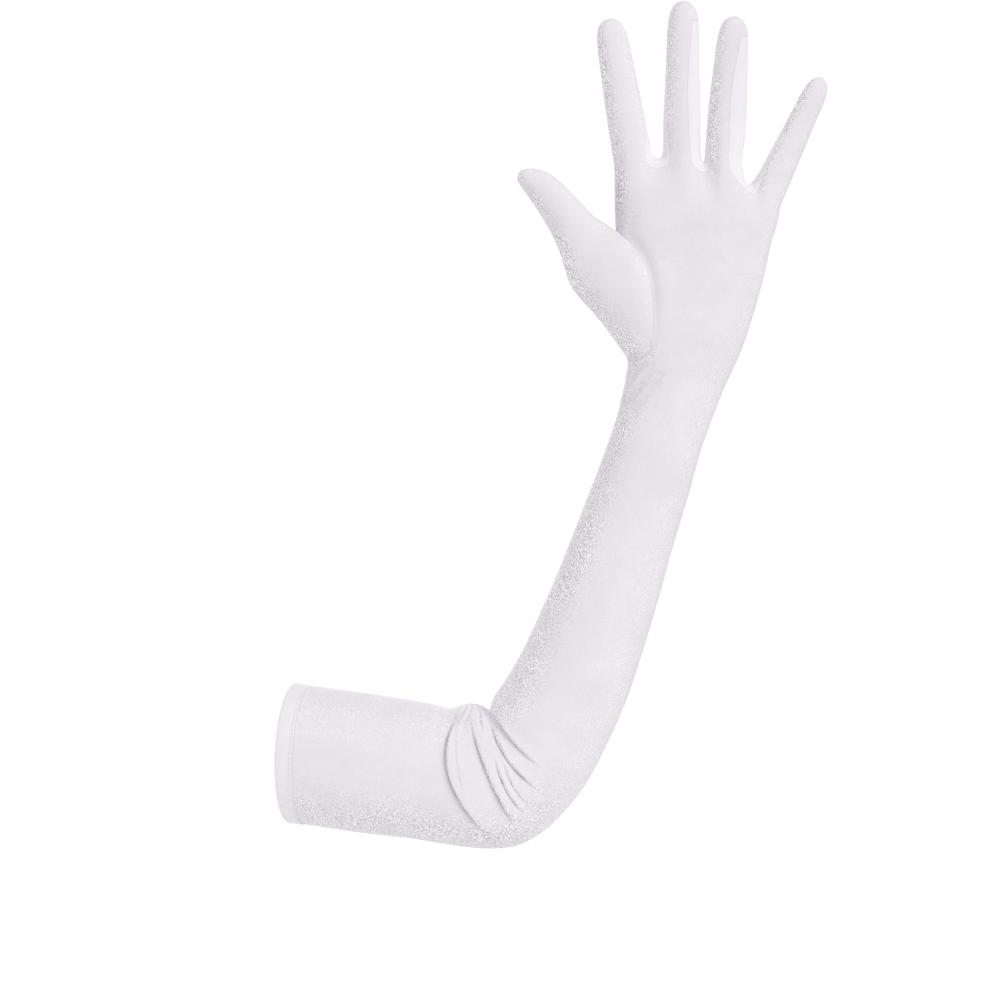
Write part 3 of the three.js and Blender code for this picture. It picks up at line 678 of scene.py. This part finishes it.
def press_folds(points, normals):
    """Creases along the curves of the table. On one side the cloth rises to a lip, on the other it sinks
    softly under that lip."""
    flat = points[:, [0, 2]]
    facing = normals[:, 1]
    rise = np.zeros(len(points))
    for fold in FOLDS:
        curve = fold_curve(fold)
        reach = np.linalg.norm(flat[:, None, :] - curve[None, :, :], axis=2)
        nearest = reach.argmin(axis=1)
        tangent = np.gradient(curve, axis=0)[nearest]
        offset = flat - curve[nearest]
        left = tangent[:, 0] * offset[:, 1] - tangent[:, 1] * offset[:, 0]
        away = reach.min(axis=1) / MM * np.sign(left) * fold.side
        along = nearest / FOLD_STEPS
        ends = np.clip(np.minimum(along, 1 - along) * FOLD_FADE + FOLD_END_SHARE, 0, 1)
        groove = -fold.groove * np.exp(-(away / GROOVE_HALF) ** 2)
        over = 1 - np.exp(-(np.maximum(away, 0) / GROOVE_HALF) ** 2)
        fade = np.exp(-(away / fold.width) ** 2)
        lip = fold.lip * over * fade
        sink = -fold.lip * FOLD_SINK * fade
        share = np.where(facing < 0, 1, fold.back) * np.clip(np.abs(facing) * SIDE_FADE, 0, 1)
        rise += share * ends * (groove + np.where(away > 0, lip, sink))
    return points + normals * (rise * MM * sizes().fold_depth)[:, None]


def cut_edges(faces):
    """Edges of a panel that have a face on one side only, in the direction of that face."""
    pairs = face_edges(faces)
    _, first, counts = np.unique(np.sort(pairs, axis=1), axis=0, return_index=True, return_counts=True)
    return pairs[first[counts == 1]]


def pinch_seams(points, normals, faces, panels):
    """Draws the cloth in along every seam between two panels but the hem's, which lies flat."""
    seam = set()
    for panel in range(len(PANELS)):
        seam.update(np.unique(cut_edges(faces[panels == panel])))
    hem = faces[panels == PANELS.index("cuff_hem")]
    seam = np.array(sorted(seam - set(np.unique(cut_edges(hem)))))
    return points - normals * valley(points, points[seam], sizes().seam_pinch, sizes().seam_width)[:, None]


def valley(points, line, depth, half):
    """How deep each point lies in a valley along a line of points."""
    tree = KDTree(len(line))
    for i, spot in enumerate(line):
        tree.insert(spot, i)
    tree.balance()
    distance = np.array([tree.find(point)[2] for point in points])
    return depth * np.exp(-(distance / half) ** 2)


@functools.lru_cache(maxsize=1)
def glove_surface():
    """The whole glove as one skin, with its folds and seams pressed in: points, normals, faces, panels."""
    points, faces, panels = smooth_surface(*fitted_cage())
    points = press_folds(points, point_normals(points, faces))
    points = pinch_seams(points, point_normals(points, faces), faces, panels)
    return points, point_normals(points, faces), faces, panels


def rim_inward(points, normals, faces, rim):
    """Directions along the cloth, from each point of a panel's rim into the panel."""
    middles = points[faces].mean(axis=1)
    pull = np.zeros_like(points)
    for i in range(4):
        np.add.at(pull, faces[:, i], middles - points[faces[:, i]])
    inward = pull[rim] - normals[rim] * (pull[rim] * normals[rim]).sum(axis=1)[:, None]
    return inward / np.linalg.norm(inward, axis=1)[:, None]


def panel_mesh(name, wall, proud):
    """One panel as a closed wall of cloth. Its edge rolls over by half the wall at the glove's mouth, and
    less at a seam."""
    points, normals, faces, panels = glove_surface()
    mouth = np.unique(cut_edges(faces))
    faces = faces[panels == PANELS.index(name)]
    edges = cut_edges(faces)
    used, faces = np.unique(faces, return_inverse=True)
    faces = faces.reshape(-1, 4)
    edges = np.searchsorted(used, edges)
    points, normals = points[used], normals[used]

    rim = np.unique(edges)
    inward = rim_inward(points, normals, faces, rim)
    at_mouth = np.isin(used[rim], mouth)
    roll = np.where(at_mouth, wall / 2, sizes().seam_round)[:, None]
    points[rim] += inward * (roll + sizes().seam_gap / 2)
    outside = points + normals * proud
    inside = points + normals * (proud - wall)

    middle = (outside[rim] + inside[rim]) / 2
    rolled = []
    for step in range(1, ROLL_STEPS):
        angle = math.pi * step / ROLL_STEPS
        outward = normals[rim] * (wall / 2 * math.cos(angle))
        rolled.append(middle + outward - inward * (roll * math.sin(angle)))
    count, rim_count = len(points), len(rim)
    rolled_rows = [2 * count + step * rim_count + np.arange(rim_count) for step in range(ROLL_STEPS - 1)]
    rows = [rim, *rolled_rows, rim + count]
    start, end = (np.searchsorted(rim, edges[:, side]) for side in (0, 1))
    skirts = [
        np.stack((here[end], here[start], there[start], there[end]), axis=1)
        for here, there in zip(rows, rows[1:])]
    at_seam = edges[~(at_mouth[start] & at_mouth[end])]
    mesh = smooth_mesh(
        name, np.concatenate((outside, inside, *rolled)),
        np.concatenate((faces, faces[:, ::-1] + count, *skirts)).tolist())
    crease_edges(mesh, np.concatenate((at_seam, at_seam + count)))
    return mesh


def smooth_mesh(name, points, faces):
    """A mesh that is shaded round."""
    mesh = bpy.data.meshes.new(name)
    mesh.from_pydata(points.tolist(), [], faces)
    mesh.polygons.foreach_set("use_smooth", np.ones(len(faces), dtype=bool))
    return mesh


def crease_edges(mesh, pairs):
    """Marks the edges between these pairs of points, so that the cloth isn't shaded round over them."""
    all_pairs = read_array(mesh.edges, "vertices", int, 2)
    keys, creased = (
        np.sort(p.reshape(-1, 2), axis=1) @ (len(mesh.vertices), 1) for p in (all_pairs, pairs))
    mesh.edges.foreach_set("use_edge_sharp", np.isin(keys, creased))
    mesh.update()


def place_piece(name, mesh, material, replaces=()):
    """A piece of the glove with its material and the solids that it stands for."""
    piece = bpy.data.objects.new(name, mesh)
    piece.data.materials.append(material)
    bpy.context.scene.collection.objects.link(piece)
    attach(piece, "root")
    if replaces:
        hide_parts(*replaces)
    return piece


def feed(tree, socket, item):
    """Fills an input with another node's output, or with a value of its own."""
    if isinstance(item, bpy.types.NodeSocket):
        tree.links.new(item, socket)
    else:
        socket.default_value = item


def add_node(tree, kind, output, inputs, operation=None):
    """One of the outputs of a new node, with its inputs filled by name or by number."""
    node = tree.nodes.new(f"ShaderNode{kind}")
    if operation:
        node.operation = operation
    for name, item in inputs.items():
        feed(tree, node.inputs[name], item)
    return node.outputs[output]


def calculate(tree, operation, *items):
    """The result of a Math node on these values."""
    return add_node(tree, "Math", "Value", dict(enumerate(items)), operation)


def map_range(tree, item, start, stop):
    """Carries a value over from one range to another and keeps it inside that."""
    inputs = {"Value": item, "From Min": start[0], "From Max": start[1], "To Min": stop[0], "To Max": stop[1]}
    return add_node(tree, "MapRange", "Result", inputs)


# Direction of the sides, to the left and down, on which the grain carries the most painted sheen sparkle, the
# range over which a side comes to face that way, and the share of the grain and its painted sparkle that
# shows at the two ends of it
PAINTED_SPARKLE_SIDE = (-0.8, 0.0, -0.6)
PAINTED_SPARKLE_SIDE_RANGE = (-0.3, 0.4)
PAINTED_SPARKLE_SIDE_SHARE = (0.25, 1.0)

# Share of the surface's normal along y where the grain is plain, on the palm and the back, and where the
# painted sheen sparkle added to the grain on the sides seen edge-on from the front is full
PLAIN_GRAIN_TO_PAINTED_SPARKLE = (0.97, 0.68)

# The pile: detail and unevenness of the grain and the nap, the ranges of their noise that make a sharp and a
# soft shade, the patches in which the grain is stronger, the roughness, and the depth of the tufts
GRAIN_DETAIL = 1.5
GRAIN_ROUGHNESS = 0.6
NAP_SCALE = 38.0
NAP_DETAIL = 3.0
NAP_DISTORTION = 0.6
SHARP_RANGE = (0.36, 0.66)
SOFT_RANGE = (0.3, 0.7)
DARK_TO_LIGHT = (-1.0, 1.0)
PATCH_RANGE = (0.35, 0.65)
PATCH_SHARE = (0.5, 1.6)
PILE_ROUGHNESS = (0.95, 0.6)
TUFT_DEPTH = 0.6

PILE_INPUTS = {
    "Cloth Color": ("NodeSocketColor", (0.8, 0.8, 0.8, 1)),
    "Grain Scale": ("NodeSocketFloat", 1500.0),
    "Grain Contrast": ("NodeSocketFloat", 0.03),
    # Contrast of the painted sheen sparkle in the grain on the sides
    "Side Contrast": ("NodeSocketFloat", 0.38),
    "Nap Contrast": ("NodeSocketFloat", 0.06),
}
PILE_OUTPUTS = {"Color": "NodeSocketColor", "Height": "NodeSocketFloat", "Roughness": "NodeSocketFloat"}


def pile_group():
    """Short velvet pile: grain with painted sheen sparkle on the sides, patches where the nap lies over, and
    the relief of both.
    """
    name = "Velvet pile"
    if name in bpy.data.node_groups:
        return bpy.data.node_groups[name]
    group = bpy.data.node_groups.new(name, "ShaderNodeTree")
    for socket, (kind, default) in PILE_INPUTS.items():
        group.interface.new_socket(name=socket, in_out="INPUT", socket_type=kind).default_value = default
    for socket, kind in PILE_OUTPUTS.items():
        group.interface.new_socket(name=socket, in_out="OUTPUT", socket_type=kind)
    source = group.nodes.new("NodeGroupInput").outputs
    result = group.nodes.new("NodeGroupOutput").inputs
    place = group.nodes.new("ShaderNodeTexCoord").outputs

    fine = {"Vector": place["Object"], "Scale": source["Grain Scale"]}
    broad = {"Vector": place["Object"], "Scale": NAP_SCALE}
    grain = add_node(
        group, "TexNoise", "Fac", {**fine, "Detail": GRAIN_DETAIL, "Roughness": GRAIN_ROUGHNESS})
    nap = add_node(group, "TexNoise", "Fac", {**broad, "Detail": NAP_DETAIL, "Distortion": NAP_DISTORTION})
    tufts = add_node(group, "TexVoronoi", "Distance", fine)

    normal_y = add_node(group, "SeparateXYZ", "Y", {"Vector": place["Normal"]})
    # Painted sheen sparkle: the grain's contrast grows from the palm and back to the sides seen edge-on from
    # the front
    contrast = map_range(
        group, calculate(group, "ABSOLUTE", normal_y), PLAIN_GRAIN_TO_PAINTED_SPARKLE,
        (source["Grain Contrast"], source["Side Contrast"]))
    # Painted sheen sparkle: the grain's contrast grows most where the surface turns to the left and down
    toward_sparkle_side = add_node(group, "VectorMath", "Value", {0: place["Normal"], 1: PAINTED_SPARKLE_SIDE}, "DOT_PRODUCT")
    sparkle_side_weight = map_range(group, toward_sparkle_side, PAINTED_SPARKLE_SIDE_RANGE, PAINTED_SPARKLE_SIDE_SHARE)
    patchy = calculate(group, "MULTIPLY", map_range(group, nap, PATCH_RANGE, PATCH_SHARE), contrast)
    strength = calculate(group, "MULTIPLY", patchy, sparkle_side_weight)

    grain_and_sparkle_shade = calculate(group, "MULTIPLY", map_range(group, grain, SHARP_RANGE, DARK_TO_LIGHT), strength)
    nap_shade = map_range(group, nap, SOFT_RANGE, DARK_TO_LIGHT)
    shade = calculate(group, "MULTIPLY_ADD", nap_shade, source["Nap Contrast"], grain_and_sparkle_shade)
    shade = calculate(group, "ADD", 1.0, shade)
    color = add_node(group, "VectorMath", "Vector", {0: source["Cloth Color"], "Scale": shade}, "SCALE")
    feed(group, result["Color"], color)
    feed(group, result["Height"], calculate(group, "MULTIPLY_ADD", tufts, -TUFT_DEPTH, grain))
    feed(group, result["Roughness"], map_range(group, grain, SOFT_RANGE, PILE_ROUGHNESS))
    return group


class Cloth(NamedTuple):
    """How one cloth differs from the others: its grain's contrast on the palm and back, the contrast of the
    painted sheen sparkle in its grain on the sides, its nap's contrast, the share of the pile's height that
    it shows, and its sheen."""

    name: str
    color: str
    grain: float
    painted_side_sparkle: float
    nap: float
    relief: float
    sheen: float


# The fourth value of each cloth is the contrast of the painted sheen sparkle in its grain on the sides
VELVET = Cloth("White stretch velvet", "velvet", 0.03, 0.38, 0.03, 0.8, 0.6)
STRIP_VELVET = Cloth("White velvet strips", "strip", 0.02, 0.1, 0.02, 0.5, 0.5)
HEM_VELVET = Cloth("White velvet hem", "hem", 0.02, 0.06, 0.02, 0.3, 0.5)
THREAD = Cloth("White sewing thread", "thread", 0.05, 0.05, 0.0, 0.3, 0.2)

# Every cloth: how strong its relief is, and its shine
RELIEF_STRENGTH = 0.6
CLOTH_SPECULAR = 0.3
SHEEN_ROUGHNESS = 0.4
WHITE = (1.0, 1.0, 1.0, 1.0)


def cloth_material(cloth):
    """The material of one cloth, made once."""
    if cloth.name in bpy.data.materials:
        return bpy.data.materials[cloth.name]
    material = bpy.data.materials.new(cloth.name)
    material.use_nodes = True
    tree = material.node_tree
    pile = tree.nodes.new("ShaderNodeGroup")
    pile.node_tree = pile_group()
    values = {
        "Cloth Color": (*getattr(finish(), cloth.color), 1),
        "Grain Scale": 1 / finish().pile_grain,
        "Grain Contrast": cloth.grain,
        "Side Contrast": cloth.painted_side_sparkle,
        "Nap Contrast": cloth.nap,
    }
    relief = {
        "Height": pile.outputs["Height"],
        "Strength": RELIEF_STRENGTH,
        "Distance": finish().pile_height * cloth.relief,
    }
    looks = {
        "Base Color": pile.outputs["Color"],
        "Roughness": pile.outputs["Roughness"],
        "Normal": add_node(tree, "Bump", "Normal", relief),
        "Specular IOR Level": CLOTH_SPECULAR,
        "Sheen Weight": cloth.sheen,
        "Sheen Roughness": SHEEN_ROUGHNESS,
        "Sheen Tint": WHITE,
    }
    for node, inputs in ((pile, values), (tree.nodes["Principled BSDF"], looks)):
        for name, item in inputs.items():
            feed(tree, node.inputs[name], item)
    return material


TRANK_NODES = ("trank", *(f"trank_finger_{finger.name}" for finger in FINGERS))


class GLOVE_OT_trank(bpy.types.Operator):
    """Make the palm, back and sleeve with the fronts and backs of the fingers"""

    bl_idname = "glove.make_trank"
    bl_label = "Palm, Back and Sleeve"

    def execute(self, context):
        mesh = panel_mesh("trank", sizes().wall, 0)
        place_piece("glove_trank", mesh, cloth_material(VELVET), TRANK_NODES)
        return {"FINISHED"}


class GLOVE_OT_thumb(bpy.types.Operator):
    """Make the set-in thumb"""

    bl_idname = "glove.make_thumb"
    bl_label = "Thumb"

    def execute(self, context):
        mesh = panel_mesh("thumb", sizes().wall, 0)
        thumb = place_piece("glove_thumb", mesh, cloth_material(VELVET), ["thumb"])
        return {"FINISHED"}


class GLOVE_OT_fourchettes(bpy.types.Operator):
    """Make the strips between the fingers"""

    bl_idname = "glove.make_fourchettes"
    bl_label = "Fourchettes"

    def execute(self, context):
        for strip in STRIPS:
            mesh = panel_mesh(strip, sizes().wall, 0)
            piece = place_piece(f"glove_{strip}", mesh, cloth_material(STRIP_VELVET), [strip])
        return {"FINISHED"}


class GLOVE_OT_hem(bpy.types.Operator):
    """Make the folded hem of the cuff and its stitches"""

    bl_idname = "glove.make_hem"
    bl_label = "Cuff Hem"

    def execute(self, context):
        mesh = panel_mesh("cuff_hem", sizes().hem_wall, sizes().hem_proud)
        hem = place_piece("glove_cuff_hem", mesh, cloth_material(HEM_VELVET), ["cuff_hem"])
        stitches = place_piece("glove_hem_stitches", stitch_mesh(), cloth_material(THREAD))
        return {"FINISHED"}


# A stitch: points round the thread and rows along it, the share of the pitch that it covers, how far its
# middle lies over the hem and how thin its ends get as shares of its radius, and its distance from the seam
STITCH_SIDES = 8
STITCH_ROWS = 7
STITCH_LENGTH_SHARE = 0.72
STITCH_RISE_SHARE = 0.4
STITCH_END_SHARE = 0.5
STITCH_SETBACK = 1.3 * MM
TO_CUFF = np.array((-0.995, 0.1, 0.0))


def hem_line():
    """Points along the hem's seam, in order round the sleeve, with their outward normals."""
    points, normals, faces, panels = glove_surface()
    hem = set(map(tuple, cut_edges(faces[panels == PANELS.index("cuff_hem")])))
    rim = set(map(tuple, cut_edges(faces)))
    following = dict(hem - rim)
    walk = [min(following)]
    while following[walk[-1]] != walk[0]:
        walk.append(following[walk[-1]])
    return points[walk], normals[walk]


def on_line(at, lengths, values):
    """Values of a closed line at one length along it."""
    return np.array([np.interp(at, lengths, values[:, axis], period=lengths[-1]) for axis in range(3)])


def stitch_rings(line, normals):
    """Rings of points round the thread, STITCH_ROWS for each stitch, in order round the cuff."""
    size = sizes()
    line, normals = (np.vstack((values, values[:1])) for values in (line, normals))
    lengths = np.concatenate(([0], np.cumsum(np.linalg.norm(np.diff(line, axis=0), axis=1))))
    count = round(lengths[-1] / size.stitch_pitch)
    half = lengths[-1] / count * STITCH_LENGTH_SHARE / 2
    rise = size.hem_proud + size.stitch_radius * STITCH_RISE_SHARE
    around = 2 * math.pi * np.arange(STITCH_SIDES) / STITCH_SIDES
    rings = []
    for number in range(count):
        centre = lengths[-1] * (number + 0.5) / count
        for row in range(STITCH_ROWS):
            angle = math.pi * row / (STITCH_ROWS - 1)
            at = centre - half * math.cos(angle)
            normal = on_line(at, lengths, normals)
            normal /= np.linalg.norm(normal)
            spot = on_line(at, lengths, line) + TO_CUFF * STITCH_SETBACK + normal * rise
            thick = size.stitch_radius * max(math.sqrt(math.sin(angle)), STITCH_END_SHARE)
            side = TO_CUFF - normal * TO_CUFF.dot(normal)
            side /= np.linalg.norm(side)
            rings.append(spot + thick * (np.outer(np.cos(around), side) + np.outer(np.sin(around), normal)))
    return rings


def stitch_mesh():
    """A row of short stitches round the cuff, on the hem just inside its seam."""
    rings = stitch_rings(*hem_line())
    faces = []
    for first in range(0, len(rings), STITCH_ROWS):
        stitch = range(first, first + STITCH_ROWS)
        rows = [range(ring * STITCH_SIDES, (ring + 1) * STITCH_SIDES) for ring in stitch]
        for here, there in zip(rows, rows[1:]):
            for side in range(STITCH_SIDES):
                after = (side + 1) % STITCH_SIDES
                faces.append((here[side], here[after], there[after], there[side]))
        faces += [tuple(reversed(rows[0])), tuple(rows[-1])]
    return smooth_mesh("hem_stitches", np.concatenate(rings), faces)


# The picture: its size and the glove's origin in it, in pixels, the camera's sensor in millimetres, where the
# glove lies in y, and how bright the camera sees the room
PICTURE_PIXELS = 1000
PICTURE_ORIGIN = (290.5, 755)
SENSOR = 36.0
GLOVE_Y = -0.02
SEEN_WHITE = 1.05

# The floor, in metres, and its finish
FLOOR_RADIUS = 0.44
FLOOR_SIDES = 96
FLOOR_ROUGHNESS = 0.9
FLOOR_SPECULAR = 0.1


def picture_centre():
    """Where the middle of the picture lies on the glove's plane."""
    middle = PICTURE_PIXELS / 2
    return (middle - PICTURE_ORIGIN[0]) * studio().pixel, (PICTURE_ORIGIN[1] - middle) * studio().pixel


def make_camera():
    x, z = picture_centre()
    data = bpy.data.cameras.new("camera")
    data.sensor_width = SENSOR
    data.lens = SENSOR * studio().camera_distance / (PICTURE_PIXELS * studio().pixel)
    camera = bpy.data.objects.new("camera", data)
    camera.location = (x, GLOVE_Y - studio().camera_distance, z)
    camera.rotation_euler = (math.radians(90), 0, 0)
    bpy.context.scene.collection.objects.link(camera)
    bpy.context.scene.camera = camera


class SoftLight(NamedTuple):
    """A round soft light: its place, its diameter, and the setting that holds its power."""

    name: str
    place: tuple
    size: float
    power: str


LIGHTS = (
    SoftLight("key", (3.2, -3.0, 1.8), 2.4, "key_power"),
    SoftLight("fill", (-3.6, -1.3, 0.0), 3.0, "fill_power"),
    SoftLight("top", (0.1, 0.3, 2.8), 2.0, "top_power"),
    SoftLight("back", (-0.6, 3.6, 1.2), 3.0, "back_power"),
)


def aim(thing, target):
    """Turns a light so that it shines at the target."""
    offset = [t - p for t, p in zip(target, thing.location)]
    flat = math.hypot(offset[0], offset[1])
    thing.rotation_euler = (math.atan2(flat, -offset[2]), 0, math.atan2(-offset[0], offset[1]))


def make_lights():
    x, z = picture_centre()
    for light in LIGHTS:
        data = bpy.data.lights.new(light.name, "AREA")
        data.shape = "DISK"
        data.size = light.size
        data.energy = getattr(studio(), light.power)
        lamp = bpy.data.objects.new(light.name, data)
        lamp.location = light.place
        aim(lamp, (x, GLOVE_Y, z))
        bpy.context.scene.collection.objects.link(lamp)


def make_room():
    """White all round, brighter to the eye than the light it gives."""
    world = bpy.data.worlds.new("white_room")
    bpy.context.scene.world = world
    world.use_nodes = True
    tree = world.node_tree
    seen = add_node(tree, "LightPath", "Is Camera Ray", {})
    strength = map_range(tree, seen, (0, 1), (studio().world_light, SEEN_WHITE))
    background = tree.nodes["Background"].inputs
    feed(tree, background["Color"], WHITE)
    feed(tree, background["Strength"], strength)
    bpy.context.scene.view_settings.view_transform = "Standard"


def make_floor():
    """A round pale floor, low enough to stay out of the picture."""
    x, _ = picture_centre()
    low = CAD_BOX[0][2] - studio().floor_drop
    mesh = bpy.data.meshes.new("floor")
    rim = []
    for side in range(FLOOR_SIDES):
        turn = 2 * math.pi * side / FLOOR_SIDES
        rim.append((x + FLOOR_RADIUS * math.cos(turn), GLOVE_Y + FLOOR_RADIUS * math.sin(turn), low))
    mesh.from_pydata(rim, [], [tuple(range(FLOOR_SIDES))])
    floor = bpy.data.objects.new("floor", mesh)
    material = bpy.data.materials.new("Pale floor")
    material.use_nodes = True
    shader = material.node_tree.nodes["Principled BSDF"]
    shader.inputs["Base Color"].default_value = (*studio().floor_color, 1)
    shader.inputs["Roughness"].default_value = FLOOR_ROUGHNESS
    shader.inputs["Specular IOR Level"].default_value = FLOOR_SPECULAR
    mesh.materials.append(material)
    bpy.context.scene.collection.objects.link(floor)


class GLOVE_OT_studio(bpy.types.Operator):
    """Set up the camera, the soft lights, the white room and the floor"""

    bl_idname = "glove.make_studio"
    bl_label = "Studio"

    def execute(self, context):
        make_camera()
        make_lights()
        make_room()
        make_floor()
        return {"FINISHED"}


OPERATORS = (GLOVE_OT_studio, GLOVE_OT_trank, GLOVE_OT_thumb, GLOVE_OT_fourchettes, GLOVE_OT_hem)


class GLOVE_PT_sidebar(bpy.types.Panel):
    """Sizes, finish and studio of the glove, and a button for each step"""

    bl_idname = "GLOVE_PT_sidebar"
    bl_label = "Long Velvet Glove"
    bl_space_type = "VIEW_3D"
    bl_region_type = "UI"
    bl_category = "Glove"

    def draw(self, context):
        scene = context.scene
        for group in (scene.glove_sizes, scene.glove_finish, scene.glove_studio):
            box = self.layout.box()
            for name in group.__annotations__:
                box.prop(group, name)
        for operator in OPERATORS:
            self.layout.operator(operator.bl_idname)


GROUPS = {"glove_sizes": GloveSizes, "glove_finish": GloveFinish, "glove_studio": GloveStudio}


def register():
    for cls in (*GROUPS.values(), *OPERATORS, GLOVE_PT_sidebar):
        bpy.utils.register_class(cls)
    for name, group in GROUPS.items():
        setattr(bpy.types.Scene, name, bpy.props.PointerProperty(type=group))


def unregister():
    for name in GROUPS:
        delattr(bpy.types.Scene, name)
    for cls in reversed((*GROUPS.values(), *OPERATORS, GLOVE_PT_sidebar)):
        bpy.utils.unregister_class(cls)


def main():
    register()
    bpy.ops.glove.make_studio()
    bpy.ops.glove.make_trank()
    bpy.ops.glove.make_thumb()
    bpy.ops.glove.make_fourchettes()
    bpy.ops.glove.make_hem()


if __name__ == "__main__":
    main()
